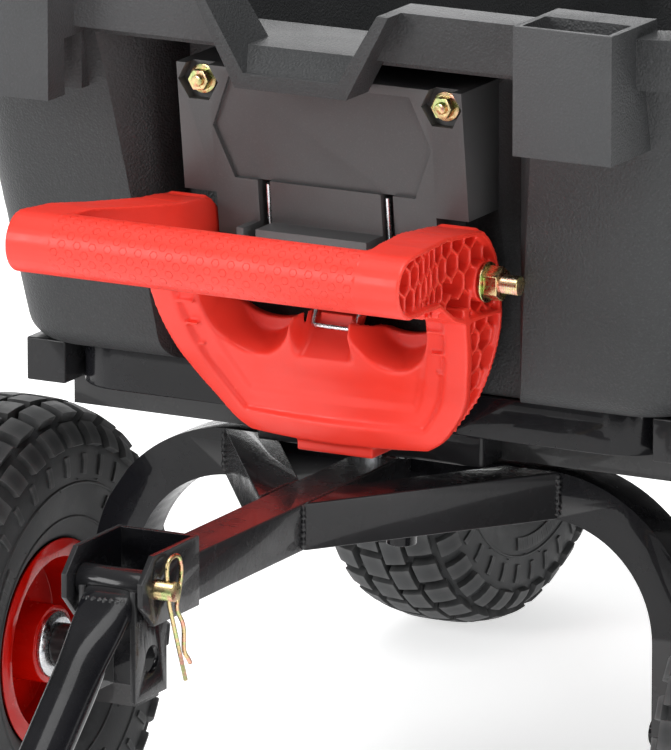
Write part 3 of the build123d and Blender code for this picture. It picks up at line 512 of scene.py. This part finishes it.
# ---------------------------------------------------------------------------
# dump handle
# ---------------------------------------------------------------------------
def spline_value(points, t):
    """Smooth curve through (t, value) points."""
    if t <= points[0][0]:
        return points[0][1]
    if t >= points[-1][0]:
        return points[-1][1]
    i = next(k for k in range(len(points) - 1) if t <= points[k + 1][0])
    (t1, v1), (t2, v2) = points[i], points[i + 1]
    t0, v0 = points[max(i - 1, 0)]
    t3, v3 = points[min(i + 2, len(points) - 1)]
    span = t2 - t1
    m1 = (v2 - v0) / (t2 - t0) * span
    m2 = (v3 - v1) / (t3 - t1) * span
    u = (t - t1) / span
    return ((2 * u ** 3 - 3 * u ** 2 + 1) * v1 + (u ** 3 - 2 * u ** 2 + u) * m1
            + (3 * u ** 2 - 2 * u ** 3) * v2 + (u ** 3 - u ** 2) * m2)


def along_line(points, t):
    """Value of a polyline of (t, value) points."""
    for (t0, v0), (t1, v1) in zip(points, points[1:]):
        if t <= t1 and t1 > t0:
            return v0 + (v1 - v0) * max(0.0, (t - t0) / (t1 - t0))
    return points[-1][1]


def smooth_step(value, start, end):
    t = max(0.0, min(1.0, (value - start) / (end - start)))
    return t * t * (3 - 2 * t)


def prism(bm, outline, offset):
    """Closed prism over an outline."""
    base = [bm.verts.new(p) for p in outline]
    top = [bm.verts.new(p + offset) for p in outline]
    bm.faces.new(base)
    bm.faces.new(list(reversed(top)))
    count = len(base)
    for k in range(count):
        bm.faces.new((base[(k + 1) % count], base[k], top[k], top[(k + 1) % count]))


class DumpHandle:
    """Moulded handle in the pivot's frame: x across, y back, d down from the pivot."""

    EAR_IN = 0.0655
    EAR_OUT = 0.0918
    REAR = 0.0215
    BOTTOM = 0.097
    FRONT_EDGE = [(0.0, -0.024), (0.018, -0.021), (0.036, -0.014), (0.054, -0.005), (0.066, 0.003),
                  (0.080, 0.010), (0.097, 0.0145)]
    WIDTH = [(0.0, 0.0915), (0.018, 0.0915), (0.036, 0.0890), (0.054, 0.0838), (0.069, 0.0772),
             (0.083, 0.0672), (0.092, 0.0590), (0.097, 0.0515)]
    LIP = [(0.016, 0.0295), (0.022, 0.0335), (0.034, 0.0365), (0.048, 0.0355), (0.058, 0.0300),
           (0.0625, 0.0200), (0.066, 0.0100)]

    def __init__(self):
        self.pivot = joint_point("handle_release")
        corner_low, corner_high = low("dump_handle"), high("dump_handle")
        self.radius = 0.016
        self.half = corner_high.x
        self.grip = Vector((0, corner_low.y + self.radius, corner_high.z - self.radius))
        self.grip_y = self.grip.y - self.pivot.y
        self.grip_z = self.grip.z - self.pivot.z
        self.bm = bmesh.new()

    def point(self, x, y, d):
        return self.pivot + Vector((x, y, -d))

    def width(self, d):
        return spline_value(self.WIDTH, d)

    def bottom(self, x):
        """Depth of the outline under a place across the apron."""
        x = abs(x)
        a, b = 0.018, self.BOTTOM
        if x <= self.width(b):
            return b
        for _ in range(30):
            mid = (a + b) / 2
            a, b = (mid, b) if self.width(mid) > x else (a, mid)
        return a

    def top(self, x):
        return 0.0290 if abs(x) < 0.016 else spline_value(self.LIP, abs(x))

    def front(self, x, d):
        """How far forward the apron's face is at a place."""
        w = self.width(d)
        edge = spline_value(self.FRONT_EDGE, d)
        bulge = 0.009 * smooth_step(d, 0.040, 0.095) * max(0.0, 1 - (x / w) ** 2)
        face = edge - bulge
        rim = min(w - abs(x), (self.BOTTOM + 0.001 - d) * 1.1)
        face += 0.0034 * smooth_step(rim, 0.0125, 0.0165) + 0.0016 * smooth_step(rim, 0.0245, 0.0300)
        side = abs(x)
        ramp_back = 0.0168 - (d - 0.0295) * 0.87
        channel = (1 - smooth_step(side, 0.0128, 0.0172)) * max(0.0, ramp_back - face)
        oval = math.hypot((side - 0.0400) / 0.0262, (d - 0.0200) / 0.0335)
        scoop = (1 - smooth_step(oval, 0.70, 1.02)) * max(0.0, 0.0175 - face)
        return face + max(channel, scoop)

    def skin(self, thickness=0.0060):
        columns, rows = 150, 64
        grids = []
        for back in (0.0, thickness):
            grid = []
            for i in range(columns + 1):
                x = self.EAR_OUT * (2 * i / columns - 1) * 0.995
                d0, d1 = self.top(x), self.bottom(x)
                depths = [d0 + (d1 - d0) * j / rows for j in range(rows + 1)]
                grid.append([self.bm.verts.new(self.point(x, self.front(x, d) + back, d)) for d in depths])
            grids.append(grid)
        front, rear = grids
        for i in range(columns):
            for j in range(rows):
                self.bm.faces.new((front[i][j], front[i + 1][j], front[i + 1][j + 1], front[i][j + 1]))
                self.bm.faces.new((rear[i][j + 1], rear[i + 1][j + 1], rear[i + 1][j], rear[i][j]))
            for j in (0, rows):
                quad = (front[i][j], rear[i][j], rear[i + 1][j], front[i + 1][j])
                self.bm.faces.new(quad if j == 0 else tuple(reversed(quad)))
        for j in range(rows):
            for i in (0, columns):
                quad = (front[i][j], front[i][j + 1], rear[i][j + 1], rear[i][j])
                self.bm.faces.new(quad if i == 0 else tuple(reversed(quad)))

    def shift(self, y):
        """How far out an arm stands at a distance from the pivot."""
        return (self.half - self.EAR_OUT) * smooth_step(-y, 0.028, -self.grip_y + 0.006)

    def wall_front(self, x, d):
        """Front of the side's inner wall, just behind the apron's face."""
        return max(self.front(x, d), self.front(x + 0.0035, d)) + 0.0025

    def side_rim(self, side):
        """Rear flange and inner wall of the apron's side."""
        steps = 30
        for k in range(steps):
            d0 = (self.BOTTOM - 0.002) * k / steps
            d1 = (self.BOTTOM - 0.002) * (k + 1) / steps + 0.0004
            y0 = self.REAR - 0.0035 * (1 - smooth_step(d0, 0.0, 0.03))
            y1 = self.REAR - 0.0035 * (1 - smooth_step(d1, 0.0, 0.03))
            out = min(self.width(d0), self.width(d1))
            inner = min(self.EAR_IN, out - 0.010)
            flange = [self.point(side * inner, y0, d0), self.point(side * inner, y1, d1),
                      self.point(side * inner, y1 - 0.0024, d1), self.point(side * inner, y0 - 0.0024, d0)]
            prism(self.bm, flange, Vector((side * (out - inner), 0, 0)))
            front0, front1 = (self.wall_front(inner, max(d, 0.012)) for d in (d0, d1))
            wall = [self.point(side * inner, front0, d0), self.point(side * inner, front1, d1),
                    self.point(side * inner, y1, d1), self.point(side * inner, y0, d0)]
            prism(self.bm, wall, Vector((side * 0.0035, 0, 0)))

    def arm_outline(self):
        gy, gz, r = self.grip_y, self.grip_z, self.radius
        chain = [(gy + r * math.cos(a), gz + r * math.sin(a))
                 for a in [math.radians(90 + 180 * k / 14) for k in range(15)]]
        under = [(gy + 0.030, gz - r - 0.0035), (gy + 0.060, gz - r - 0.009), (-0.034, -0.0135),
                 (-0.021, -0.0180)]
        upper = [(0.018, -0.003), (0.0125, 0.012), (0.007, 0.0195), (-0.001, 0.0265), (-0.014, 0.0285),
                 (-0.030, 0.0300), (-0.044, 0.0320), (-0.070, 0.0350), (gy + 0.022, gz + r - 0.0008)]
        return chain, under, upper

    def arm(self, side):
        chain, under, upper = self.arm_outline()
        loop = chain + under + [(0.018, -0.020)] + upper
        closed = loop + [loop[0]]
        depth = self.EAR_OUT - self.EAR_IN
        centre = Vector((-0.050, 0.008))
        for (y0, z0), (y1, z1) in zip(closed, closed[1:]):
            run = Vector((y1 - y0, z1 - z0))
            inward = Vector((-run.y, run.x)).normalized() * 0.0024
            if inward.dot(centre - Vector((y0, z0))) < 0:
                inward = -inward
            corners = [(y0, z0), (y1, z1), (y1 + inward.x, z1 + inward.y), (y0 + inward.x, z0 + inward.y)]
            base = [self.point(side * (self.EAR_IN + self.shift(y)), y, -z) for y, z in corners]
            prism(self.bm, base, Vector((side * depth, 0, 0)))
        floor_line = sorted([(y, z) for y, z in chain if z <= self.grip_z] + under + [(0.018, -0.020)])
        roof_line = sorted([(y, z) for y, z in chain if z >= self.grip_z] + upper)
        slices = 44
        y_first, y_last = self.grip_y - self.radius + 0.0002, 0.0178
        for k in range(slices):
            y0 = y_first + (y_last - y_first) * k / slices
            y1 = y_first + (y_last - y_first) * (k + 1) / slices
            corners = [(y0, along_line(floor_line, y0)), (y1, along_line(floor_line, y1)),
                       (y1, along_line(roof_line, y1)), (y0, along_line(roof_line, y0))]
            web = [self.point(side * (self.EAR_IN + self.shift(y)), y, -z) for y, z in corners]
            prism(self.bm, web, Vector((side * 0.004, 0, 0)))
        ring = [(0.0105 * math.cos(a), 0.0105 * math.sin(a)) for a in [math.tau * k / 20 for k in range(20)]]
        eye = [self.point(side * self.EAR_IN, y, -z) for y, z in ring]
        prism(self.bm, eye, Vector((side * (depth - 0.0006), 0, 0)))

    def in_side(self, y, z):
        """True inside the open side of an arm or of the apron."""
        d = -z
        if d > -0.004 and y > -0.030:
            face = spline_value(self.FRONT_EDGE, d) + 0.001
            return d < self.BOTTOM - 0.012 and face < y < self.REAR - 0.001
        top = 0.0385 - (y - self.grip_y) * 0.085
        below = self.grip_z - self.radius + 0.001 - (y - self.grip_y) * 0.26
        if y < self.grip_y:
            return math.hypot(y - self.grip_y, z - self.grip_z) < self.radius - 0.001
        return below < z < min(top, 0.029 + max(0.0, -y - 0.02) * 0.09) and y < 0.016 - max(0.0, z) * 0.4

    def ribs(self, side):
        """Honeycomb ribs that fill the open side."""
        cell = 0.0078
        width = math.sqrt(3) * cell
        edges = set()
        for row in range(-14, 14):
            for column in range(-14, 14):
                cy = (column + 0.5 * (row % 2)) * width + 0.004
                cz = row * 1.5 * cell + 0.003
                turns = [k * math.pi / 3 for k in range(6)]
                ring = [(round(cy + cell * math.sin(a), 5), round(cz + cell * math.cos(a), 5)) for a in turns]
                for a, b in zip(ring, ring[1:] + ring[:1]):
                    edges.add((a, b) if a < b else (b, a))
        for (y0, z0), (y1, z1) in sorted(edges):
            parts = 4
            for k in range(parts):
                a = Vector((y0 + (y1 - y0) * k / parts, z0 + (z1 - z0) * k / parts))
                b = Vector((y0 + (y1 - y0) * (k + 1) / parts, z0 + (z1 - z0) * (k + 1) / parts))
                mid = (a + b) / 2
                if not self.in_side(mid.x, mid.y):
                    continue
                across = Vector((-(b - a).y, (b - a).x)).normalized() * 0.0008
                a = a - (b - a) * 0.1
                corners = (a + across, b + across, b - across, a - across)
                base = [self.point(side * (self.EAR_IN + 0.002 + self.shift(p.x)), p.x, -p.y)
                        for p in corners]
                reach = self.EAR_OUT - self.EAR_IN - 0.0052
                if -mid.y > 0.0:
                    reach -= self.EAR_OUT - self.width(-mid.y)
                if reach > 0.003:
                    prism(self.bm, base, Vector((side * reach, 0, 0)))

    def bar(self):
        sides = 56
        rings = []
        inner_end = self.half - 0.021
        for x in (-inner_end, inner_end):
            ring = []
            for k in range(sides):
                a = math.tau * k / sides
                around = Vector((x, self.radius * math.cos(a), self.radius * math.sin(a)))
                ring.append(self.bm.verts.new(self.grip + around))
            rings.append(ring)
        first, last = rings
        for k in range(sides):
            self.bm.faces.new((first[k], first[(k + 1) % sides], last[(k + 1) % sides], last[k]))
        self.bm.faces.new(list(reversed(rings[0])))
        self.bm.faces.new(rings[1])

    def boss(self):
        """Raised bar that the spring's bight sits around, and the latch hook under the apron."""
        y, d = 0.0150, 0.0325
        half_x, half_y, half_d = 0.0095, 0.0030, 0.0028
        corners = [self.point(x, y + step, d - half_d) for x, step in
                   ((-half_x, -half_y), (half_x, -half_y), (half_x, half_y), (-half_x, half_y))]
        prism(self.bm, corners, Vector((0, 0, -2 * half_d)))
        hook_low, hook_y = low("dump_handle").z, high("dump_handle").y
        top = self.pivot.z - self.BOTTOM + 0.001
        half, inset = 0.022, 0.0004
        y0, y1, z0 = self.pivot.y + 0.010, hook_y - inset, hook_low + inset
        corners = [Vector((x, y, z0)) for x, y in ((-half, y0), (half, y0), (half, y1), (-half, y1))]
        prism(self.bm, corners, Vector((0, 0, top - hook_low)))

    def build(self, material):
        self.bar()
        self.skin()
        self.boss()
        for side in (1, -1):
            self.arm(side)
            self.side_rim(side)
            self.ribs(side)
        mesh = mesh_from(self.bm, "dump_handle_look")
        piece = new_piece("dump_handle_look", mesh, "dump_handle_body", "red_poly", material, ["dump_handle"])
        fuse = piece.modifiers.new("fuse", "REMESH")
        fuse.mode = "VOXEL"
        fuse.voxel_size = 0.0009
        fuse.use_smooth_shade = True
        relax = piece.modifiers.new("relax", "SMOOTH")
        relax.factor = 0.5
        relax.iterations = 3
        return piece


# ---------------------------------------------------------------------------
# drawbar, clip and welds
# ---------------------------------------------------------------------------
def weld(name, points, radius, body, seed=1, slot_name="frame_black"):
    """Rippled weld bead along points."""
    fine = []
    for a, b in zip(points, points[1:]):
        steps = max(2, int((b - a).length / 0.0009))
        fine += [a.lerp(b, k / steps) for k in range(steps)]
    fine.append(points[-1])
    rng = random.Random(seed)
    fine = [p + Vector([rng.uniform(-1, 1) * radius * 0.14 for _ in range(3)]) for p in fine]
    bm = bmesh.new()
    count = len(fine)

    def bead(i):
        end = min(1.0, (i + 0.4) / 2.5, (count - i - 0.6) / 2.5)
        return end * (0.86 + 0.20 * math.sin(i * 1.9) + rng.uniform(-0.08, 0.08))

    tube_mesh(bm, fine, radius, sides=10, wobble=bead)
    return new_piece(name, mesh_from(bm, name), body, slot_name)


def rounded_path(points, radius, steps=6):
    """Polyline with its corners rounded."""
    path = [points[0]]
    for before, corner, after in zip(points, points[1:], points[2:]):
        reach = min(radius, (corner - before).length * 0.48, (after - corner).length * 0.48)
        a = corner + (before - corner).normalized() * reach
        b = corner + (after - corner).normalized() * reach
        for k in range(steps + 1):
            t = k / steps
            path.append(a * (1 - t) ** 2 + corner * 2 * t * (1 - t) + b * t * t)
    path.append(points[-1])
    return path


def make_hitch_clip():
    """Spring clip: one straight leg through the pin and one bowed leg round it."""
    pin = joint_point("drawbar_swing")
    x = middle("hitch_clip").x
    lean = 0.30

    def at(y, z):
        return Vector((x, pin.y + y + max(0.0, -z) * lean, pin.z + z))

    straight = [at(0.0034, -0.0500), at(-0.0004, -0.0060), at(-0.0005, 0.0100)]
    bowed = [at(y, z) for y, z in ((0.0010, 0.0145), (0.0065, 0.0165), (0.0125, 0.0150), (0.0150, 0.0070),
                                   (0.0105, -0.0040), (0.0055, -0.0110), (0.0105, -0.0215), (0.0060, -0.0350),
                                   (0.0095, -0.0400), (0.0105, -0.0425))]
    bm = bmesh.new()
    tube_mesh(bm, rounded_path(straight + bowed, 0.0045), 0.00115, sides=12)
    mesh = mesh_from(bm, "hitch_clip_look")
    new_piece("hitch_clip_look", mesh, "clip", "zinc_yellow", None, ["hitch_clip"])


def make_spring_bight():
    """The spring's bight, hooked round the raised bar in the handle's channel."""
    pivot = joint_point("handle_release")
    side = [(0.0128, 0.0165, -0.0180), (0.0128, 0.0150, -0.0260), (0.0122, 0.0088, -0.0362)]
    points = [pivot + Vector(p) for p in side] + [pivot + Vector((-x, y, z)) for x, y, z in reversed(side)]
    bm = bmesh.new()
    tube_mesh(bm, rounded_path(points, 0.0022), 0.0012, sides=12)
    new_piece("spring_bight", mesh_from(bm, "spring_bight"), "dump_handle_body", "zinc_bright")


def make_drawbar():
    """Round shaft whose upper end is pressed flat under the sleeve."""
    pin = joint_point("drawbar_swing")
    yoke = middle("pull_yoke")
    base = math.radians(43)
    bend = pin + Vector((0, -math.cos(base), -math.sin(base))) * 0.170
    end = yoke + (bend - yoke).normalized() * 0.010
    start = pin + (bend - pin).normalized() * 0.0068
    path = [start.lerp(bend, t / 24) for t in range(17)]
    corner = rounded_path([path[-1], bend, bend.lerp(end, 0.12)], 0.055, 10)
    path += corner[1:] + [bend.lerp(end, t) for t in (0.2, 0.4, 0.6, 0.8, 1.0)]
    bm = bmesh.new()
    rings = []
    sides = 40
    radius = 0.01245
    run = 0.0
    for i, point in enumerate(path):
        if i:
            run += (point - path[i - 1]).length
        ahead = path[min(i + 1, len(path) - 1)] - path[max(i - 1, 0)]
        across = Vector((1, 0, 0))
        normal = across.cross(ahead.normalized()).normalized()
        flat = 1 - smooth_step(run, 0.010, 0.050)
        half_x = radius * (1 + 0.16 * flat)
        half_n = radius * (1 - 0.42 * flat)
        ring = []
        for k in range(sides):
            a = math.tau * k / sides
            square = 1 - 0.4 * flat
            c, w = math.cos(a), math.sin(a)
            px = math.copysign(abs(c) ** square, c) * half_x
            pn = math.copysign(abs(w) ** square, w) * half_n
            creased = smooth_step(run, 0.006, 0.020) * (1 - smooth_step(run, 0.03, 0.06))
            dent = 0.0035 * creased * max(0.0, c) * abs(w)
            ring.append(bm.verts.new(point + across * (px - dent) + normal * pn))
        rings.append(ring)
    for ring, following in zip(rings, rings[1:]):
        for k in range(sides):
            bm.faces.new((ring[k], ring[(k + 1) % sides], following[(k + 1) % sides], following[k]))
    bm.faces.new(list(reversed(rings[0])))
    bm.faces.new(rings[-1])
    new_piece("drawbar_tube_look", mesh_from(bm, "drawbar_tube_look"), "drawbar", "frame_black", None,
              ["drawbar_tube"])
    seam = [start + Vector((x, -0.0075 - 0.002 * math.cos(x * 90), -0.0010)) for x in
            (-0.0130, -0.009, -0.004, 0.0, 0.004, 0.009, 0.0130)]
    weld("sleeve_weld_front", seam, 0.0021, "drawbar", 3)
    weld("sleeve_weld_rear", [p + Vector((0, 0.0125, -0.004)) for p in seam], 0.0018, "drawbar", 4)


def make_welds():
    """Beads where the front axle's tubes meet, and round the clevis."""
    brace_low, brace_high = low("axle_braces"), high("axle_braces")
    tongue_low, tongue_high = low("tongue"), high("tongue")
    arch_low = low("axle_arch")
    z0, z1 = brace_low.z + 0.001, brace_high.z - 0.0005
    seam = high("clevis").y + 0.0006
    for side in (1, -1):
        label = "right" if side > 0 else "left"
        x = side * (tongue_high.x + 0.0004)
        weld("tongue_joint_" + label, [Vector((x, brace_low.y, z1)), Vector((x, brace_low.y, z0))], 0.0017,
             "front_axle", 11 + side)
        x = side * (brace_high.x - 0.0003)
        face = arch_low.y - 0.0004
        weld("arch_joint_" + label, [Vector((x, face, z1)), Vector((x, face, z0))], 0.0019, "front_axle",
             21 + side)
        weld("brace_top_" + label, [Vector((side * 0.0135, brace_low.y + 0.002, z1 + 0.0004)),
                                    Vector((side * 0.0135, brace_low.y + 0.034, z1 + 0.0004))], 0.0009,
             "front_axle", 31 + side)
        x = side * tongue_high.x
        weld("clevis_joint_" + label, [Vector((x, seam, tongue_high.z)), Vector((x, seam, tongue_low.z))],
             0.0016, "front_axle", 41 + side)
    weld("clevis_joint_top", [Vector((tongue_low.x, seam, tongue_high.z)),
                              Vector((tongue_high.x, seam, tongue_high.z))], 0.0014, "front_axle", 51)


# ---------------------------------------------------------------------------
# stage
# ---------------------------------------------------------------------------
def make_stage():
    mesh = bpy.data.meshes.new("floor")
    reach = 30.0
    mesh.from_pydata([(-reach, -reach, 0), (reach, -reach, 0), (reach, reach, 0), (-reach, reach, 0)], [],
                     [(0, 1, 2, 3)])
    floor = bpy.data.objects.new("floor", mesh)
    bpy.context.scene.collection.objects.link(floor)
    floor.location.z = -0.0005
    pale = Shader("floor_pale", (0.90, 0.90, 0.90), 0.8)
    pale.color(pale.mix(pale.noise(1.5, 2, 0.5), (0.90, 0.90, 0.90), (0.93, 0.93, 0.93)))
    pale.set("Emission Color", (1, 1, 1, 1))
    pale.set("Emission Strength", 0.62)
    mesh.materials.append(pale.material)


def area_light(name, location, aim, size, power, size_y=None):
    light = bpy.data.lights.new(name, "AREA")
    light.shape = "RECTANGLE"
    light.size = size
    light.size_y = size_y or size
    light.energy = power
    lamp = bpy.data.objects.new(name, light)
    bpy.context.scene.collection.objects.link(lamp)
    lamp.location = location
    lamp.rotation_euler = (Vector(aim) - Vector(location)).to_track_quat("-Z", "Y").to_euler()


def make_lights():
    world = bpy.data.worlds.new("studio")
    bpy.context.scene.world = world
    world.use_nodes = True
    tree = world.node_tree
    background = tree.nodes["Background"]
    where = tree.nodes.new("ShaderNodeTexCoord")
    split = tree.nodes.new("ShaderNodeSeparateXYZ")
    fade = tree.nodes.new("ShaderNodeMapRange")
    fade.interpolation_type = "SMOOTHSTEP"
    tree.links.new(where.outputs["Generated"], split.inputs[0])
    tree.links.new(split.outputs["Z"], fade.inputs["Value"])
    fade.inputs["From Min"].default_value = 0.05
    fade.inputs["From Max"].default_value = 0.85
    fade.inputs["To Min"].default_value = 0.05
    fade.inputs["To Max"].default_value = 0.50
    tree.links.new(fade.outputs["Result"], background.inputs["Strength"])
    background.inputs["Color"].default_value = (1, 1, 1, 1)
    area_light("overhead", (0.2, -0.4, 2.6), (0, 0.1, 0.2), 1.8, 46)
    area_light("front_left", (-1.9, -2.6, 1.5), (0, 0.0, 0.3), 1.3, 52)
    area_light("front_right", (2.6, -1.6, 1.1), (0, 0.1, 0.3), 0.9, 26, 1.8)
    area_light("rear_strip", (-1.4, 2.4, 1.3), (0, 0.2, 0.3), 1.0, 18, 2.0)


def make_camera():
    """Camera at the photograph's viewing angle, a long lens on the front of the cart."""
    azimuth, elevation = math.radians(28.26), math.radians(13.99)
    back = Vector((math.sin(azimuth) * math.cos(elevation), -math.cos(azimuth) * math.cos(elevation),
                   math.sin(elevation)))
    right = Vector((math.cos(azimuth), math.sin(azimuth), 0))
    up = back.cross(right)
    kingpin = Vector((0, joint_point("steering").y, 0.240))
    aim = kingpin - right * 0.0343 + up * 0.0598
    data = bpy.data.cameras.new("camera")
    data.sensor_width = 36
    data.lens = 511.4
    data.clip_start = 0.1
    data.clip_end = 100
    camera = bpy.data.objects.new("camera", data)
    bpy.context.scene.collection.objects.link(camera)
    camera.location = aim + back * 5.531
    camera.rotation_euler = back.to_track_quat("Z", "Y").to_euler()
    bpy.context.scene.camera = camera
    bpy.context.scene.view_settings.view_transform = "Standard"


# ---------------------------------------------------------------------------
# assembly
# ---------------------------------------------------------------------------
WHEELS = ("front_left", "front_right", "rear_left", "rear_right")
# edge radius and bevel segments of each CAD piece whose copy is only rounded
SOFT_EDGES = {}
for edge, segments, nodes in (
        (0.0030, 3, "tub pull_grip"),
        (0.0026, 3, "axle_arch"),
        (0.0022, 3, "side_rail_left side_rail_right front_cross_member rear_cross_member bolster_beam"),
        (0.0022, 3, "rear_axle_beam rear_bridge rear_axle_posts tongue axle_braces"),
        (0.0020, 3, "kingpin_block"),
        (0.0015, 2, "pull_yoke"),
        (0.0012, 2, "rear_braces"),
        (0.0008, 2, "handle_panel latch_strike hinge_lugs hinge_brackets kingpin kingpin_nut"),
        (0.0008, 2, "front_axle_nuts rear_axle_nuts"),
        (0.0007, 2, "clevis tow_bracket"),
        (0.0006, 2, "pivot_nuts clevis_pin"),
        (0.0005, 2, "drawbar_sleeve panel_nuts pivot_rod hinge_collars"),
        (0.0004, 2, "panel_bolts")):
    SOFT_EDGES.update({node: (edge, segments) for node in nodes.split()})


def repaint_cad_nodes():
    for node, item in NODES.items():
        item.data.materials.clear()
        item.data.materials.append(MATERIALS[SLOT_OF[node]].material)


def thread(name, node, end, body, slot_name):
    """Screw thread on the outer end of a rod along X."""
    centre = middle(node)
    radius = (high(node).z - low(node).z) / 2
    lead_in, pitch, turns, steps = 0.0012, 0.00125, 11, 20
    root, crest = radius * 0.95, 0.00034
    points = []
    for k in range(turns * steps + 1):
        a = math.tau * k / steps
        x = end - math.copysign(lead_in + pitch * k / steps, end)
        points.append(Vector((x, centre.y + root * math.cos(a), centre.z + root * math.sin(a))))
    bm = bmesh.new()
    tube_mesh(bm, points, crest, sides=6)
    new_piece(name, mesh_from(bm, name), body, slot_name)


make_camera()
make_stage()
make_lights()
repaint_cad_nodes()
handle_red = red_plastic("handle_red", (0.76, 0.035, 0.020))
handle = DumpHandle()
grip_dimples(handle_red, handle.grip, handle.radius, 0.0875)
handle.build(handle_red.material)
make_hitch_clip()
make_spring_bight()
make_drawbar()
make_welds()
thread("pivot_thread_right", "pivot_rod", high("pivot_rod").x, "tub_body", "zinc_bright")
for node, (width, segments) in SOFT_EDGES.items():
    painted = MATERIALS["frame_black"].material if node in ("kingpin", "kingpin_nut") else None
    soften(node, width, segments, material=painted)
for wheel in WHEELS:
    make_tyre(wheel)
    soften("rim_" + wheel, 0.0012, 2)
    soften("bearings_" + wheel, 0.0005, 2)
